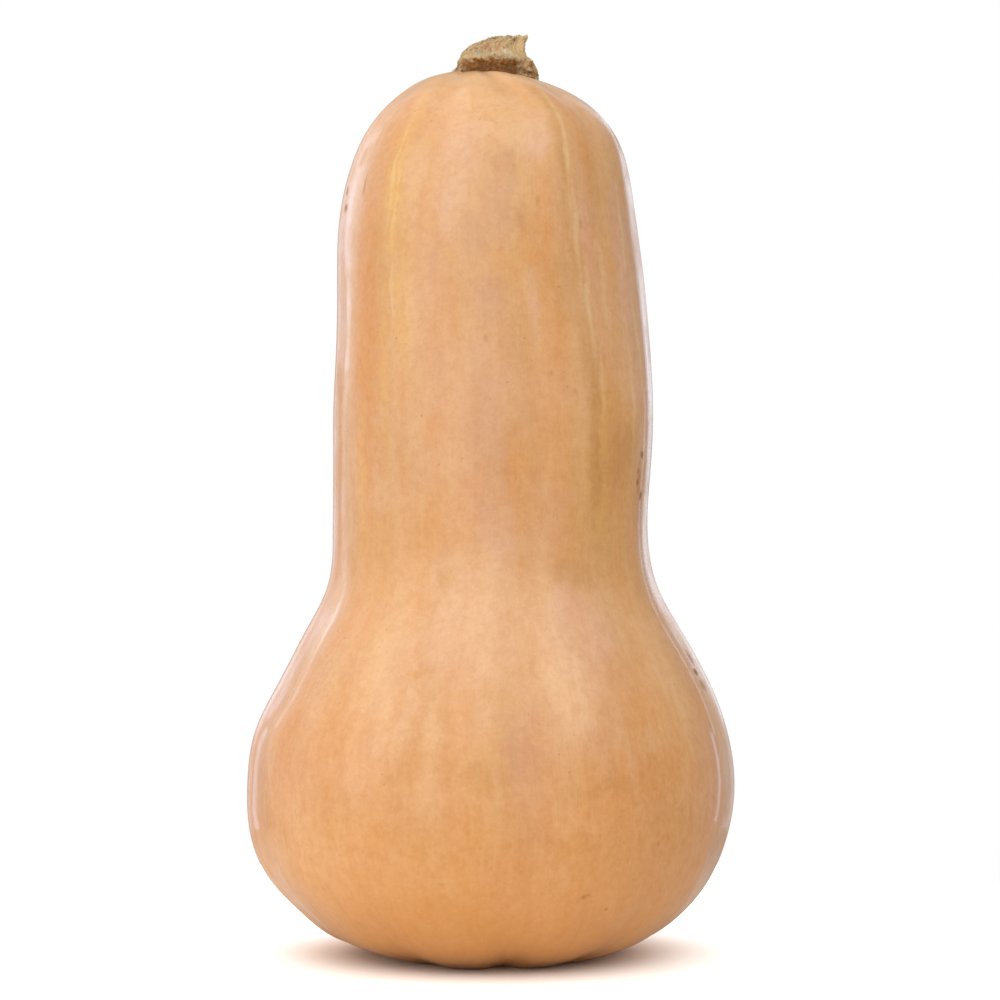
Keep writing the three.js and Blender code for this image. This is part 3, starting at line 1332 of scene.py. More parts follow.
@dataclass(frozen=True)
class Fruit:
    """The fruit: one swept skin with ten grooves, broad waves, dents and fine ripples.

    Attributes:
        outline: Its sections, from the blossom scar up to the stalk.
        grooves: How many grooves it has.
        first_groove: Where the first of them is.
        groove_sharpness: Power that narrows them.
        groove_twist: How far they turn in one millimetre of height, in radians.
        groove_sway: How unevenly they are spaced: waves round the fruit, phase, and radians.
        groove_unevenness: How unevenly deep they are: waves round the fruit, and share.
        groove_depths: Heights, and how deep the grooves are there.
        waves: Each broad wave: lobes round the fruit, waves in one millimetre of height, phase, and size.
        dents: Each dent or swelling: degrees, height, half width, half height, and how far it stands out.
        plain_radius: Radius up to which a section stays plain.
        full_radius: Radius from which it has its full relief.
        ripple: Fine ripples.
        sectors: Faces round it.
        rings_per_span: Rings of faces between two sections.
    """

    outline: tuple[Station, ...] = (
        (0, 2, 0, 0),
        (3.4, 2.1, 0, 0),
        (5.6, 3.2, 0, 0),
        (11, 2, 0, 0),
        (20, -0.7, 0, 0),
        (32, 1.3, 0.1, 0),
        (42, 5, 0.3, 0),
        (50.4, 11.4, 0.7, 0.1),
        (58.2, 21, 0.1, 0.2),
        (62.5, 33, 0, 0.3),
        (63.2, 45, 0.3, 0.3),
        (61.1, 58, 0.1, 0),
        (55.3, 71, 0.7, -0.4),
        (48.4, 84, 0.5, -0.8),
        (42.5, 96, 0.6, -1),
        (40.9, 109, 0.4, -0.9),
        (41.5, 123, 0.9, -0.5),
        (41.9, 138, 1.1, 0),
        (41.3, 154, 0.9, 0.5),
        (40.2, 170, 0.3, 0.8),
        (38.9, 186, -0.5, 0.8),
        (36.5, 201, -0.3, 0.6),
        (31.6, 214, 0.2, 0.3),
        (21.7, 223.3, -1.3, 0),
        (11, 227.9, -3.8, 0),
        (0, 229.3, -4.2, 0),
    )
    grooves: int = 10
    first_groove: float = math.radians(4)
    groove_sharpness: int = 4
    groove_twist: float = 0.0006
    groove_sway: tuple[int, float, float] = (2, 1, 0.06)
    groove_unevenness: tuple[int, float] = (3, 0.3)
    groove_depths: tuple[tuple[float, float], ...] = (
        (0, 1),
        (12, 0.8),
        (45, 0.55),
        (90, 0.5),
        (115, 0.3),
        (190, 0.35),
        (215, 0.5),
        (230, 0.45),
    )
    waves: tuple[tuple[int, float, float, float], ...] = (
        (2, 0.008, 0.8, 0.35),
        (3, -0.011, 2.1, 0.25),
        (5, 0.006, 4, 0.15),
    )
    dents: tuple[tuple[float, float, float, float, float], ...] = (
        (82, 119, 16, 14, -0.4),
        (7, 48, 6, 14, -0.4),
        (27, 70, 10, 18, 0.4),
        (-150, 86, 20, 16, -0.7),
        (165, 150, 18, 30, 0.6),
    )
    plain_radius: float = 3
    full_radius: float = 13
    ripple: Ripple = Ripple(count=26, size=0.013, most_lobes=11, shortest=24, seed=7)
    sectors: int = 380
    rings_per_span: int = 10

    def relief(self, angle: np.ndarray, height: np.ndarray, radius: np.ndarray) -> np.ndarray:
        """Works out how far the skin stands off its plain round sections.

        Args:
            angle: Angle of each point.
            height: Height of each point's section.
            radius: Radius of each point's section.

        Returns:
            The distances, in millimetres.
        """
        lobes, phase, size = self.groove_sway
        sway = size * np.sin(lobes * angle + phase)
        groove = np.cos(self.grooves / 2 * (angle - self.first_groove - self.groove_twist * height - sway))
        levels, depths = zip(*self.groove_depths)
        lobes, share = self.groove_unevenness
        depth = np.interp(height, levels, depths) * (1 + share * np.cos(lobes * angle))
        total = -depth * groove**self.groove_sharpness
        for lobes, rate, phase, size in self.waves:
            total = total + size * np.sin(lobes * angle + rate * 2 * math.pi * height + phase)
        for degrees, level, half_width, half_height, size in self.dents:
            across = turn_between(math.radians(degrees), angle) * radius / half_width
            total = total + size * bell(across) * bell((height - level) / half_height)
        return total

    def grid(self) -> tuple[np.ndarray, np.ndarray]:
        """Places the skin's points.

        Returns:
            The points in millimetres, and their flow: cosine and sine of the angle, and metres along the
            outline.
        """
        line = Batten(self.outline)
        rings = line.spans * self.rings_per_span
        values, slopes = line.at(np.linspace(0, line.spans, rings + 1))
        steps = np.hypot(*np.diff(values[:, :2], axis=0).T)
        along = np.concatenate([[0], np.cumsum(steps)])[:, None]
        steepness = np.hypot(slopes[:, 0], slopes[:, 1])
        outward, upward = (slopes[:, 1] / steepness)[:, None], (-slopes[:, 0] / steepness)[:, None]
        angle = np.linspace(0, 2 * math.pi, self.sectors, endpoint=False)[None, :]
        radius, height = values[:, :1], values[:, 1:2]

        fade = smoothstep(radius, self.plain_radius, self.full_radius)
        relief = fade * (self.relief(angle, height, radius) + self.ripple.heights(angle, along))
        sections = np.repeat(values[:, None], self.sectors, axis=1)
        points = section_points(radius + relief * outward, angle, sections)
        points[..., 2] = np.maximum(points[..., 2] + relief * upward, 0)
        flow = np.stack(np.broadcast_arrays(np.cos(angle), np.sin(angle), along * MM), axis=-1).copy()
        flow[[0, -1], :, :2] = 0
        return points, flow

    def shift(self, points: np.ndarray) -> np.ndarray:
        """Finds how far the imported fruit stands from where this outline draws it.

        Args:
            points: The skin's points.

        Returns:
            The shift across the ground, in millimetres.
        """
        low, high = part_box("fruit")
        middle = np.array((low + high) / 2) / MM - (points.min((0, 1)) + points.max((0, 1))) / 2
        return middle * (1, 1, 0)

    def build(self, effects: Effects) -> bpy.types.Object:
        """Makes the fruit and dresses it.

        Args:
            effects: The shared node groups.

        Returns:
            The fruit.
        """
        points, flow = self.grid()
        line = Batten(self.outline)
        fruit = closed_mesh("fruit_skin", points + self.shift(points), flow)
        heights = line.at(np.linspace(0, line.spans, len(flow)))[0][:, 1]
        lowest = int(heights[: len(heights) // 2].argmin())

        def along_at(height: float) -> float:
            """Length along the outline, in metres, at a height above the foot ring."""
            return float(np.interp(height, heights[lowest:], flow[lowest:, 0, 2]))

        skin = SkinFinish().material(effects, along_at, float(flow[-1, 0, 2]))
        fruit.data.materials.append(skin)
        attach(fruit, BODY)
        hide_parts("fruit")
        return fruit


# ---------------------------------------------------------------- Stalk


@dataclass(frozen=True)
class StalkFinish:
    """Dry stalk wood: beige, mottled and grainy, with a pale lip over a dark band at its foot that is partly
    cork and partly painted shade, and painted light on its right side.

    Attributes:
        beige: Main colour of the wood.
        straw: Colour of its raised fibres.
        straw_share: How strongly it colours them.
        umber: Darkest brown of the band.
        ochre: Brown of the nodules on the band.
        ochre_share: How strongly it colours them.
        cork_and_crease_shade: Colour of the foot of the band: dark cork, and painted shade in the crease
            where the stalk meets the fruit.
        lip: Colour of the lip.
        lip_share: How strongly it colours the wood.
        band_share: How strongly the band covers the wood.
        ash: Grey clouds on the wood.
        fibres: Raised fibres.
        nodules: Raised nodules.
        grains: Brown and pale grains.
        cracks: Pits and cracks.
        patch_edges: Noise that breaks up the edges of the patches.
        patches: Each patch and its colour.
        wobble: Noise that makes the band's edges ragged.
        wobble_swing: How far it moves them, in millimetres.
        wobble_turn: How far it moves the band's sides, in radiuses for each metre of that.
        lip_start: Where the lip comes in.
        lip_end: Where it goes out.
        band_start: Where the band comes in.
        shaded_band_foot: Where the band darkens into that painted shade.
        front: Way that the band faces, in degrees.
        band_sides: How squarely the wood faces that way where the band ends, and where it is full.
        broken: Clouds in which the band goes on round the back.
        broken_share: How strong it is in them.
        roughness: How rough the wood is between the nodules and on them.
        specular: How much of the light it mirrors.
        fibre_rise: How the fibres rise.
        nodule_rise: How the nodules rise.
        grain: Fine grain of the wood.
        grain_rise: How it rises.
    """

    beige: str = "#ab8d63"
    straw: str = "#bb9d71"
    straw_share: float = 0.6
    umber: str = "#66380a"
    ochre: str = "#b0701c"
    ochre_share: float = 0.7
    cork_and_crease_shade: str = "#3c2410"
    lip: str = "#b89d74"
    lip_share: float = 0.5
    band_share: float = 0.92
    ash: Layer = Layer("#988867", 1.0, Cloud(scale=260.0, low=0.3, high=0.7))
    fibres: Streak = Streak(around=9.0, along=140.0, shift=0.0, low=0.4, high=0.65, detail=4.0)
    nodules: Cloud = Cloud(scale=1000.0, low=0.35, high=0.65)
    grains: tuple[Layer, ...] = (
        Layer("#875c2e", 0.55, Cloud(scale=700.0, low=0.52, high=0.66)),
        Layer("#c6b79b", 0.6, Cloud(scale=1100.0, low=0.52, high=0.66)),
        Layer("#875c2e", 0.6, Cloud(scale=1700.0, low=0.52, high=0.66)),
    )
    cracks: Layer = Layer("#3c2410", 0.5, Scatter(scale=900.0, radius=0.4, kept=0.6, cloud_scale=200.0))
    patch_edges: Grain = Grain(scale=1300.0, detail=4.0, roughness=0.65)
    patches: tuple[tuple[Marking, str], ...] = (
        (Marking(-14, 234.8, 10, 1.1, 0.7), "#a0602f"),
        (Marking(10, 233.9, 9, 1.3, 0.7), "#ad6d2f"),
        (Marking(-30, 233.4, 9, 1.0, 0.5), "#877a6a"),
        (Marking(30, 233.6, 22, 1.2, 0.8), "#d2c2a6"),
        # Painted light: a pale patch that brightens the right side of the stalk, which the lamps leave in
        # shade.
        (Marking(62, 236.2, 50, 4.0, 0.85), "#d4b17f"),
        (Marking(74, 230.5, 24, 3.0, 0.6), "#c49d6f"),
        (Marking(-95, 229.6, 20, 1.4, 0.6), "#b7a48c"),
        (Marking(150, 234.5, 16, 1.6, 0.6), "#a0602f"),
        (Marking(-140, 233.5, 20, 1.6, 0.5), "#bfae93"),
        # Painted shade: a near-black dot in the gap where the stalk meets the fruit.
        (Marking(66, 228.7, 4, 0.5, 0.9), "#2e1c0e"),
    )
    wobble: Grain = Grain(scale=520.0, detail=4.0)
    wobble_swing: float = 3.4
    wobble_turn: float = 190.0
    lip_start: Ramp = Ramp(231.2, 232)
    lip_end: Ramp = Ramp(234, 232.6)
    band_start: Ramp = Ramp(231.7, 231.1)
    shaded_band_foot: Ramp = Ramp(231, 229.6, 0.0, 0.5)
    front: float = -3.0
    band_sides: tuple[float, float] = (0.42, 0.72)
    broken: Cloud = Cloud(scale=330.0, low=0.5, high=0.62)
    broken_share: float = 0.8
    roughness: tuple[float, float] = (0.78, 0.95)
    specular: float = 0.3
    fibre_rise: Rise = Rise(strength=0.5, height=0.15)
    nodule_rise: Rise = Rise(strength=0.7, height=0.2)
    grain: Grain = Grain(scale=2500.0, detail=4.0)
    grain_rise: Rise = Rise(strength=0.7, height=0.15)

    def material(self, effects: Effects) -> bpy.types.Material:
        """Makes the stalk's material.

        Args:
            effects: The shared node groups.

        Returns:
            The material.
        """
        paint = Paint("dry_stalk", effects, self.beige)
        fibres, nodules = self.fibres.mask(paint), self.nodules.mask(paint)
        paint.add([self.ash])
        paint.lay(fibres, self.straw_share, self.straw)
        paint.add(self.grains)
        self._patched(paint)
        self._banded(paint, nodules)
        paint.add([self.cracks])
        grain = self.grain.noise(paint)
        steps = [(self.fibre_rise, fibres), (self.nodule_rise, nodules), (self.grain_rise, grain)]
        return paint.finish(
            {
                "Roughness": paint.bench.remap(nodules, 0.0, 1.0, *self.roughness),
                "Specular IOR Level": self.specular,
                "Normal": paint.relief(steps),
            }
        )

    def _patched(self, paint: Paint) -> None:
        """Lays ragged patches over the wood.

        Args:
            paint: The stalk's paint.
        """
        grain = self.patch_edges.noise(paint)
        for patch, shade in self.patches:
            paint.lay(patch.mask(paint, paint.flow, grain, lambda height: height * MM), 1.0, shade)

    def _banded(self, paint: Paint, nodules: Any) -> None:
        """Lays the pale lip, and under it the dark band, partly cork and partly painted shade, which is
        broken at its sides and darkens to painted shade at its foot.

        Args:
            paint: The stalk's paint.
            nodules: Mask of the nodules.
        """
        bench = paint.bench
        wobble = self.wobble.swing(paint, self.wobble_swing)
        level = bench.math("ADD", paint.along(), wobble)
        lip = bench.math("MULTIPLY", self.lip_start.mask(paint, level), self.lip_end.mask(paint, level))
        paint.lay(lip, self.lip_share, self.lip)

        front = math.radians(self.front)
        facing = bench.vector("DOT_PRODUCT", paint.flow, (math.cos(front), math.sin(front), 0.0), out="Value")
        facing = bench.math("ADD", facing, bench.math("MULTIPLY", wobble, self.wobble_turn))
        broken = bench.math("MULTIPLY", self.broken.mask(paint), self.broken_share)
        sides = bench.math("MAXIMUM", bench.remap(facing, *self.band_sides), broken)
        band = bench.math("MULTIPLY", self.band_start.mask(paint, level), sides)
        ochre = bench.math("MULTIPLY", nodules, self.ochre_share)
        dark = bench.mix(ochre, colour(self.umber), colour(self.ochre))
        # The foot of the band darkens to painted shade in the crease where the stalk meets the fruit.
        dark = bench.mix(self.shaded_band_foot.mask(paint, level), dark, colour(self.cork_and_crease_shade))
        paint.tone = bench.mix(bench.math("MULTIPLY", band, self.band_share), paint.tone, dark)


@dataclass(frozen=True)
class Lumps:
    """Random lumps on the stalk, in millimetres.

    Attributes:
        rate: Lumps in one millimetre.
        on_wood: How far they push the wood out.
        on_collar: How much farther they push the collar out.
        on_end: How far they push the torn end up.
    """

    rate: float
    on_wood: float
    on_collar: float
    on_end: float

    def draw(self, points: np.ndarray) -> np.ndarray:
        """Reads how strong the lumps are at points, from about -1 to 1."""
        strengths = [noise.noise(Vector(point) * self.rate) for point in points.reshape(-1, 3)]
        return np.array(strengths).reshape(points.shape[:-1])

    def outward(self, collar: np.ndarray) -> np.ndarray:
        """How far they push a point out, where it belongs to the collar by a share."""
        return self.on_wood + self.on_collar * collar


@dataclass(frozen=True)
class Stalk:
    """The broken stub of the stalk, whose toes sit on the crown of the fruit.

    Attributes:
        outline: Its sections, from inside the fruit up to the torn end.
        full_radius: Radius from which a section has its full relief.
        ridges: How many ridges run up it.
        first_ridge: Where the first of them is.
        ridge_height: How far they stand out.
        toes: Each toe: degrees, half width in degrees, and how far it reaches out.
        toe_top: Height at which the toes have half died out.
        toe_blend: How far above and below that they die out.
        uneven: Each unevenness of its rings: lobes, phase, and how far it lifts them.
        splinter_angle: Where a splinter stands up on the torn end.
        splinter_width: How wide it is, in radians.
        splinter_rise: How far it stands up.
        splinter_lean: How far it leans to the right.
        splinter_from: Height from which the end is torn.
        splinter_blend: Height over which that comes in.
        hollow_angle: Where the torn end is hollow.
        hollow_width: How wide the hollow is, in radians.
        hollow_drop: How deep it is.
        hollow_radius: Radius from which it has its full depth.
        striations: Fine ridges.
        collar_height: Height of the rough collar.
        collar_blend: How far above and below that it fades.
        torn_levels: Heights between which the roughness of the end comes in.
        torn_drop: How far that lowers the end.
        lumps: Broad lumps.
        fine_lumps: Finer lumps.
        axis_radius: Radius from which the lumps push a point out fully.
        sink: How deep its foot is sunk into the fruit.
        clearance: How far above its end the crown is looked down on from.
        sectors: Faces round it.
        rings_per_span: Rings of faces between two sections.
    """

    outline: tuple[Station, ...] = (
        (0, 222, 1, 0),
        (8.8, 223, 1, 0),
        (9.1, 227, 1, 0),
        (9, 229.6, 1, 0),
        (8.9, 230.8, 1, 0),
        (9.4, 231.8, 1, 0),
        (8.5, 233.2, 0.7, 0.1),
        (7.7, 234.8, 0.7, 0.3),
        (6.9, 236, 1.5, 0.6),
        (5.7, 237.2, 2.8, 0.9),
        (4.4, 238.6, 4.2, 1.2),
        (2.4, 238.8, 4.5, 1.2),
        (0, 238.2, 4.5, 1.2),
    )
    full_radius: float = 4
    ridges: int = 5
    first_ridge: float = math.radians(86)
    ridge_height: float = 0.7
    toes: tuple[tuple[float, float, float], ...] = (
        (82, 24, 2),
        (152, 20, 1.5),
        (-102, 26, 3.3),
        (-38, 18, 0.4),
        (14, 18, 0.3),
    )
    toe_top: float = 230.8
    toe_blend: float = 2.2
    uneven: tuple[tuple[int, float, float], ...] = ((2, 0.9, 0.3), (3, 2.6, 0.25), (7, 1.2, 0.15))
    splinter_angle: float = math.radians(96)
    splinter_width: float = 0.5
    splinter_rise: float = 0.35
    splinter_lean: float = 0.4
    splinter_from: float = 236.6
    splinter_blend: float = 2
    hollow_angle: float = math.radians(-4)
    hollow_width: float = 0.8
    hollow_drop: float = 0.85
    hollow_radius: float = 2
    striations: Ripple = Ripple(count=14, size=0.045, most_lobes=46, shortest=60, seed=3)
    collar_height: float = 230.2
    collar_blend: float = 1.3
    torn_levels: tuple[float, float] = (236.8, 238.2)
    torn_drop: float = 0.25
    lumps: Lumps = Lumps(rate=0.9, on_wood=0.15, on_collar=0.5, on_end=0.4)
    fine_lumps: Lumps = Lumps(rate=2.1, on_wood=0.18, on_collar=0.12, on_end=0.35)
    axis_radius: float = 0.5
    sink: float = 0.4
    clearance: float = 50
    sectors: int = 240
    rings_per_span: int = 14

    def grid(self) -> tuple[np.ndarray, np.ndarray]:
        """Places the stalk's points.

        Returns:
            The points in millimetres, and their flow: cosine and sine of the angle, and metres up.
        """
        line = Batten(self.outline)
        values, _ = line.at(np.linspace(0, line.spans, line.spans * self.rings_per_span + 1))
        angle = np.linspace(0, 2 * math.pi, self.sectors, endpoint=False)[None, :]
        radius, height = values[:, :1], values[:, 1:2]
        fade = smoothstep(radius, 0, self.full_radius)

        reach = self.ridge_height * np.cos(self.ridges * (angle - self.first_ridge))
        footing = 1 - smoothstep(height, self.toe_top - self.toe_blend, self.toe_top + self.toe_blend)
        for degrees, half_width, length in self.toes:
            away = turn_between(math.radians(degrees), angle) / math.radians(half_width)
            reach = reach + footing * length * bell(away)
        reach = reach + self.striations.heights(angle, height)
        sections = np.repeat(values[:, None], self.sectors, axis=1)
        points = section_points(radius + fade * reach, angle, sections)
        for lobes, phase, rise in self.uneven:
            points[..., 2] += fade * rise * np.sin(lobes * angle + phase)
        torn = smoothstep(height, self.splinter_from, self.splinter_from + self.splinter_blend)
        splinter = bell(turn_between(self.splinter_angle, angle) / self.splinter_width) * torn * fade
        points[..., 0] += self.splinter_lean * splinter
        points[..., 2] += self.splinter_rise * splinter
        hollow = bell(turn_between(self.hollow_angle, angle) / self.hollow_width) * torn
        points[..., 2] -= self.hollow_drop * (hollow * smoothstep(radius, 0, self.hollow_radius))

        flow = np.stack(np.broadcast_arrays(np.cos(angle), np.sin(angle), height * MM), axis=-1).copy()
        return points, flow

    def roughen(self, points: np.ndarray) -> np.ndarray:
        """Gives the collar nodules and the broken end torn fibres.

        Args:
            points: The stalk's points.

        Returns:
            The roughened points.
        """
        height = points[..., 2]
        middle = points.mean(axis=1, keepdims=True)
        out = points - middle
        out[..., 2] = 0
        out /= np.maximum(np.linalg.norm(out, axis=-1, keepdims=True), self.axis_radius)
        broad, fine = self.lumps.draw(points), self.fine_lumps.draw(points)
        collar = bell((height - self.collar_height) / self.collar_blend)
        torn = smoothstep(height, *self.torn_levels)
        push = self.lumps.outward(collar) * broad + self.fine_lumps.outward(collar) * fine
        rough = points + out * push[..., None]
        rough[..., 2] += torn * (self.lumps.on_end * broad + self.fine_lumps.on_end * fine - self.torn_drop)
        return rough

    def build(self, effects: Effects, fruit: bpy.types.Object, shift: np.ndarray) -> bpy.types.Object:
        """Makes the stalk, seats it in the crown and dresses it.

        Args:
            effects: The shared node groups.
            fruit: The fruit that it sits on.
            shift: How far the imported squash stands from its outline.

        Returns:
            The stalk.
        """
        points, flow = self.grid()
        points = self.roughen(points) + shift
        crown = BVHTree.FromObject(fruit, bpy.context.evaluated_depsgraph_get())
        look_from = self.outline[-1][1] + self.clearance
        for point in points.reshape(-1, 3):
            above = Vector((point[0], point[1], look_from)) * MM
            hit = crown.ray_cast(above, Vector((0, 0, -1)))[0]
            point[2] = max(point[2], hit.z / MM - self.sink)
        stalk = closed_mesh("stalk_wood", points, flow)
        stalk.data.materials.append(StalkFinish().material(effects))
        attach(stalk, BODY)
        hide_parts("stalk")
        return stalk


# ---------------------------------------------------------------- Studio


def round_about(degrees: float, distance: float, height: float) -> Vector:
    """The point at an angle round the squash, a distance from its axis, and a height."""
    angle = math.radians(degrees)
    return Vector((distance * math.sin(angle), -distance * math.cos(angle), height))


@dataclass(frozen=True)
class SoftLight:
    """A soft box that faces the squash.

    Attributes:
        name: Its name.
        degrees: Where it stands, round the squash.
        distance: Its distance from the axis, in metres.
        height: Its height, in metres.
        width: Its width, in metres.
        tall: Its other side, in metres.
        power: Its power, in watts.
        tint: Its colour.
    """

    name: str
    degrees: float
    distance: float
    height: float
    width: float
    tall: float
    power: float
    tint: str = "#ffffff"

    def build(self, target: Vector) -> bpy.types.Object:
        """Makes the light.

        Args:
            target: The point that it faces.

        Returns:
            The light.
        """
        data = bpy.data.lights.new(self.name, "AREA")
        data.shape = "RECTANGLE"
        data.size, data.size_y = self.width, self.tall
        data.energy = self.power
        data.color = colour(self.tint)[:3]
        light = bpy.data.objects.new(self.name, data)
        light.location = round_about(self.degrees, self.distance, self.height)
        light.rotation_euler = (target - light.location).to_track_quat("-Z", "Y").to_euler()
        light.visible_camera = False
        bpy.context.scene.collection.objects.link(light)
        return light


SKY = 3.0
"""How far off the washes are drawn, in metres. Their light is the same from any distance."""


@dataclass(frozen=True)
class Wash:
    """A very soft light that falls evenly from one side of the sky.

    Attributes:
        name: Its name.
        degrees: Where it is brightest, round the squash.
        rise: How far up that is, in degrees.
        spread: How wide the lit part of the sky is, in degrees.
        strength: Light that it gives, in watts for each square metre.
    """

    name: str
    degrees: float
    rise: float
    spread: float
    strength: float

    def build(self) -> bpy.types.Object:
        """Makes the light.

        Returns:
            The light.
        """
        data = bpy.data.lights.new(self.name, "SUN")
        data.energy = self.strength
        data.angle = math.radians(self.spread)
        light = bpy.data.objects.new(self.name, data)
        rise = math.radians(self.rise)
        light.location = round_about(self.degrees, SKY * math.cos(rise), SKY * math.sin(rise))
        light.rotation_euler = (-light.location).to_track_quat("-Z", "Y").to_euler()
        bpy.context.scene.collection.objects.link(light)
        return light


@dataclass(frozen=True)
class Floor:
    """A disc of matt white board, with painted light and shade in what it throws back and in what the camera
    sees.

    Attributes:
        radius: Its radius, in metres.
        corners: Corners of its rim.
        roughness: How rough it is.
        specular: How much of the light it mirrors.
        near: Colour that it throws back at the squash from its brightest place, the middle of a painted pool
            of light.
        far: Colour that it throws back from far away from there, outside that painted pool of light.
        bright: Where it is brightest, the middle of the painted pool of light.
        fade: Distances from there between which it fades, in metres.
        shown: Share of it that shows in the gloss of the skin, as a grey.
        seen: Its colour, as the camera sees it.
        painted_bounce: Its colour near the squash: painted warm light, bounced off the skin into its shadow.
        deep: What that is multiplied by right under the squash: deeper painted shade.
        warm: Middle of that painted warm shade.
        oval: How much wider the warm place is than deep.
        painted_bounce_reach: Distances between which the painted bounce comes in, in metres.
        painted_shade_reach: Distances between which the deeper painted shade comes in, in metres.
    """

    radius: float = 0.22
    corners: int = 72
    roughness: float = 0.9
    specular: float = 0.1
    near: str = "#e2dfd7"
    far: str = "#989591"
    bright: tuple[float, float, float] = (-0.05, -0.02, 0.0)
    fade: tuple[float, float] = (0.06, 0.23)
    shown: str = "#d8d8d8"
    seen: str = "#f8f4ef"
    painted_bounce: str = "#f0dccb"
    deep: str = "#ffd2a0"
    warm: tuple[float, float, float] = (0.0, 0.008, 0.0)
    oval: float = 1.36
    painted_bounce_reach: tuple[float, float] = (0.06, 0.03)
    painted_shade_reach: tuple[float, float] = (0.034, 0.024)

    def build(self) -> bpy.types.Object:
        """Makes the floor.

        Returns:
            The floor.
        """
        mesh = bpy.data.meshes.new("floor")
        turns = [2 * math.pi * i / self.corners for i in range(self.corners)]
        rim = [(self.radius * math.cos(turn), self.radius * math.sin(turn), 0) for turn in turns]
        mesh.from_pydata(rim, [], [tuple(range(self.corners))])
        mesh.materials.append(self._board())
        floor = bpy.data.objects.new("floor", mesh)
        bpy.context.scene.collection.objects.link(floor)
        return floor

    def _board(self) -> bpy.types.Material:
        """Makes the board's material, which the camera sees in other colours than the squash does.

        Returns:
            The material.
        """
        board = bpy.data.materials.new("white_board")
        board.use_nodes = True
        bench = Bench(board.node_tree)
        where = bench.node("ShaderNodeTexCoord").outputs["Object"]
        rays = bench.node("ShaderNodeLightPath").outputs
        # What the board throws back at the squash is a painted pool of light, dimmed to a grey in the skin's
        # gloss.
        given = bench.mix(rays["Is Glossy Ray"], self._painted_pool(bench, where), colour(self.shown), "MULTIPLY")
        shader = board.node_tree.nodes["Principled BSDF"]
        base = bench.mix(rays["Is Camera Ray"], given, self._seen_with_painted_shade(bench, where))
        bench.feed(shader.inputs["Base Color"], base)
        bench.feed(shader.inputs["Roughness"], self.roughness)
        bench.feed(shader.inputs["Specular IOR Level"], self.specular)
        return board

    def _painted_pool(self, bench: Bench, where: Any) -> bpy.types.NodeSocket:
        """Makes the colour that the board throws back at the squash: a painted pool of light, brightest
        beside the squash and darker away from it.

        Args:
            bench: The material's bench.
            where: Coordinates in space.

        Returns:
            The colour.
        """
        away = bench.vector("DISTANCE", where, self.bright, out="Value")
        return bench.mix(bench.remap(away, *self.fade), colour(self.near), colour(self.far))

    def _seen_with_painted_shade(self, bench: Bench, where: Any) -> bpy.types.NodeSocket:
        """Makes the colour that the camera sees, with painted warm shade where the squash stands: its shadow,
        lit by light off the skin.

        Args:
            bench: The material's bench.
            where: Coordinates in space.

        Returns:
            The colour.
        """
        # Painted shade: the board warms and darkens under the squash, for its shadow and the light that the
        # skin bounces into it.
        beside = bench.vector("SUBTRACT", where, self.warm)
        reach = bench.vector("LENGTH", bench.vector("MULTIPLY", beside, (1.0, self.oval, 1.0)), out="Value")
        painted_bounce = bench.mix(bench.remap(reach, *self.painted_bounce_reach), colour(self.seen), colour(self.painted_bounce))
        return bench.mix(bench.remap(reach, *self.painted_shade_reach), painted_bounce, colour(self.deep), "MULTIPLY")


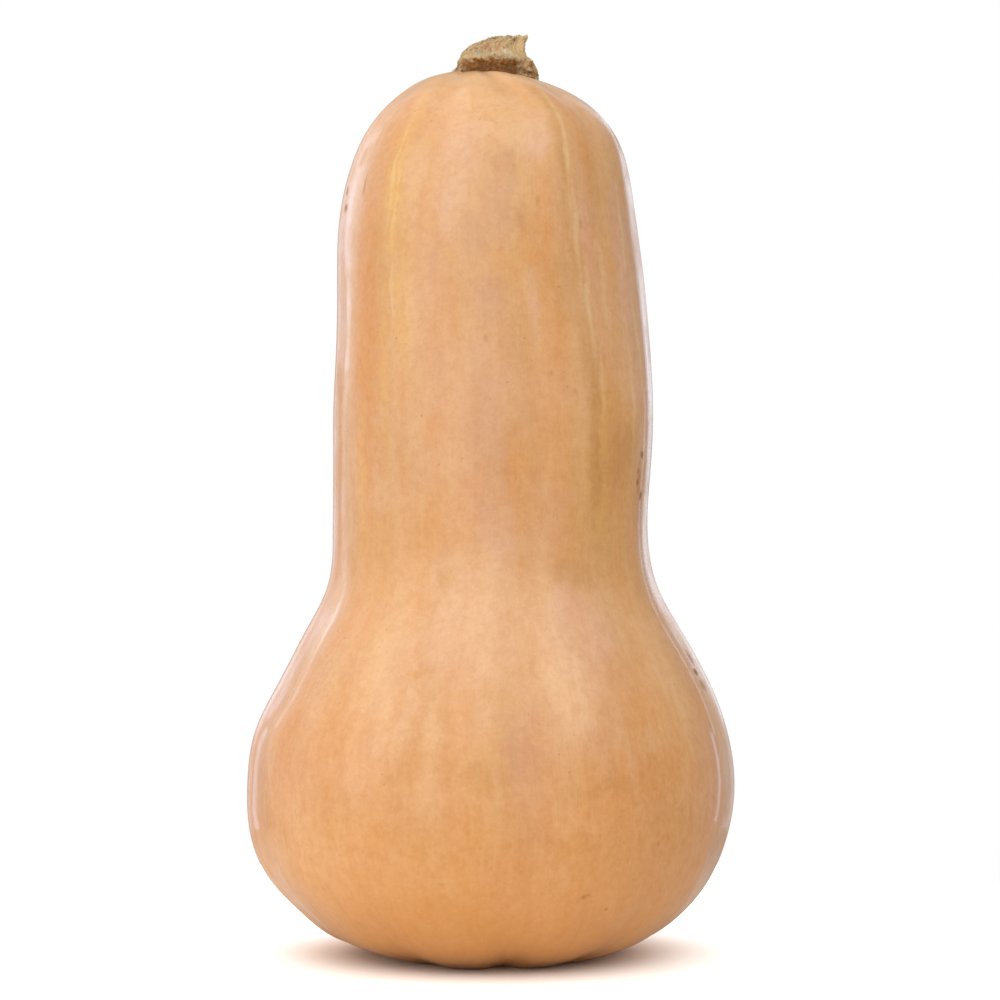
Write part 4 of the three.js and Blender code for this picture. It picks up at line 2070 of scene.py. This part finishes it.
@dataclass(frozen=True)
class Studio:
    """A white studio: a round floor, even white surroundings, soft washes, soft boxes and a long lens.

    Attributes:
        camera_distance: How far in front of the axis the camera stands, in metres.
        camera_height: Its height, in metres.
        camera_right: How far to the right it stands, in metres.
        lens: Its focal length, in millimetres.
        floor: The floor.
        surround: Light that the surroundings give.
        backdrop: How bright they look to the camera.
        washes: The soft light over the squash, at its sides and in front of it.
        floor_wash: A light that is kept to the floor.
        strips: Soft boxes behind the squash, which draw bright lines down its edges.
    """

    camera_distance: float = 0.85
    camera_height: float = 0.118
    camera_right: float = 0.0026
    lens: float = 117.7
    floor: Floor = Floor()
    surround: float = 0.38
    backdrop: float = 1.0
    washes: tuple[Wash, ...] = (
        Wash("lit_ceiling", -34, 54, 120, 1.6),
        Wash("left_wash", -100, 30, 90, 1.3),
        Wash("front_wash", 0, 7, 120, 1.6),
        Wash("right_wash", 75, 40, 60, 0.45),
    )
    floor_wash: Wash = Wash("floor_wash", 90, 76, 120, 2.27)
    strips: tuple[SoftLight, ...] = (
        SoftLight("crown_line", -134, 0.25, 0.295, 0.018, 0.055, 0.0085, "#b8d6ff"),
        SoftLight("neck_line", -128.8, 0.25, 0.22, 0.018, 0.11, 0.0235, "#b8d6ff"),
        SoftLight("neck_low_line", -126, 0.25, 0.135, 0.0155, 0.06, 0.0068, "#b8d6ff"),
        SoftLight("neck_rim", -140, 0.25, 0.235, 0.07, 0.14, 0.0366, "#cfe2ff"),
        SoftLight("bulb_line", -137.4, 0.25, 0.125, 0.01, 0.06, 0.0042, "#b8d6ff"),
        SoftLight("low_line", -134.3, 0.25, 0.035, 0.013, 0.12, 0.0135, "#b8d6ff"),
        SoftLight("bulb_rim", -143.8, 0.25, 0.07, 0.04, 0.19, 0.018, "#cfe2ff"),
        SoftLight("left_top_strip", -142, 1.2, 0.6, 0.14, 0.3, 0.05, "#d4e6ff"),
        SoftLight("left_edge", -157, 1.2, 0.36, 0.2, 0.62, 0.4, "#e2eeff"),
        SoftLight("left_high_strip", -155, 1.2, 0.95, 0.26, 0.5, 0.2, "#d4e6ff"),
        SoftLight("right_neck_rim", 147, 0.25, 0.22, 0.048, 0.16, 0.029, "#d4e6ff"),
        SoftLight("right_bulb_rim", 146.5, 0.25, 0.065, 0.035, 0.17, 0.0187, "#d4e6ff"),
        SoftLight("right_bulb_line", 131.5, 0.25, 0.12, 0.016, 0.09, 0.0108, "#c8deff"),
        SoftLight("right_low_line", 125.5, 0.25, 0.035, 0.02, 0.11, 0.0221, "#c8deff"),
        SoftLight("right_edge", 161, 1.2, 0.36, 0.2, 0.6, 0.55, "#e2eeff"),
        SoftLight("right_high_strip", 154, 1.2, 0.95, 0.3, 0.6, 0.45, "#d4e6ff"),
        SoftLight("top_right_box", 150, 1.0, 0.9, 0.9, 0.6, 0.5, "#e2eeff"),
    )

    def build(self, shift: np.ndarray) -> None:
        """Makes the floor, the surroundings, the lights and the camera.

        Args:
            shift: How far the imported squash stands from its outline, which the camera was set up for.
        """
        bpy.context.scene.view_settings.view_transform = "Standard"
        self._surroundings()
        floor = self.floor.build()
        for wash in self.washes:
            wash.build()
        lit = bpy.data.collections.new("lit_by_floor_wash")
        lit.objects.link(floor)
        self.floor_wash.build().light_linking.receiver_collection = lit
        for strip in self.strips:
            strip.build(Vector((0, 0, self.camera_height)))
        self._camera(Vector(shift) * MM)

    def _surroundings(self) -> None:
        """Makes even white surroundings, which look brighter than the light that they give."""
        world = bpy.data.worlds.new("white_surroundings")
        world.use_nodes = True
        bench = Bench(world.node_tree)
        background = world.node_tree.nodes["Background"]
        bench.feed(background.inputs["Color"], (1, 1, 1, 1))
        seen = bench.node("ShaderNodeLightPath").outputs["Is Camera Ray"]
        sockets = {"Value": seen, "To Min": self.surround, "To Max": self.backdrop}
        bench.feed(background.inputs["Strength"], bench.node("ShaderNodeMapRange", sockets).outputs["Result"])
        bpy.context.scene.world = world

    def _camera(self, shift: Vector) -> None:
        """Makes the camera, level and in front of the squash.

        Args:
            shift: How far the squash stands from where the camera was set up for it, in metres.
        """
        data = bpy.data.cameras.new("camera")
        data.lens = self.lens
        camera = bpy.data.objects.new("camera", data)
        camera.location = Vector((self.camera_right, -self.camera_distance, self.camera_height)) + shift
        camera.rotation_euler = (math.radians(90), 0, 0)
        bpy.context.scene.collection.objects.link(camera)
        bpy.context.scene.camera = camera


def main() -> None:
    """Builds the squash and its studio."""
    logging.basicConfig(level=logging.INFO, format="%(name)s: %(message)s")
    effects = Effects(Streaks(), Blotches(), Patch(), Specks())
    body = Fruit()
    fruit = body.build(effects)
    LOG.info("%s has %d faces", fruit.name, len(fruit.data.polygons))
    shift = body.shift(body.grid()[0])
    stalk = Stalk().build(effects, fruit, shift)
    LOG.info("%s has %d faces", stalk.name, len(stalk.data.polygons))
    Studio().build(shift)


if __name__ == "__main__":
    main()
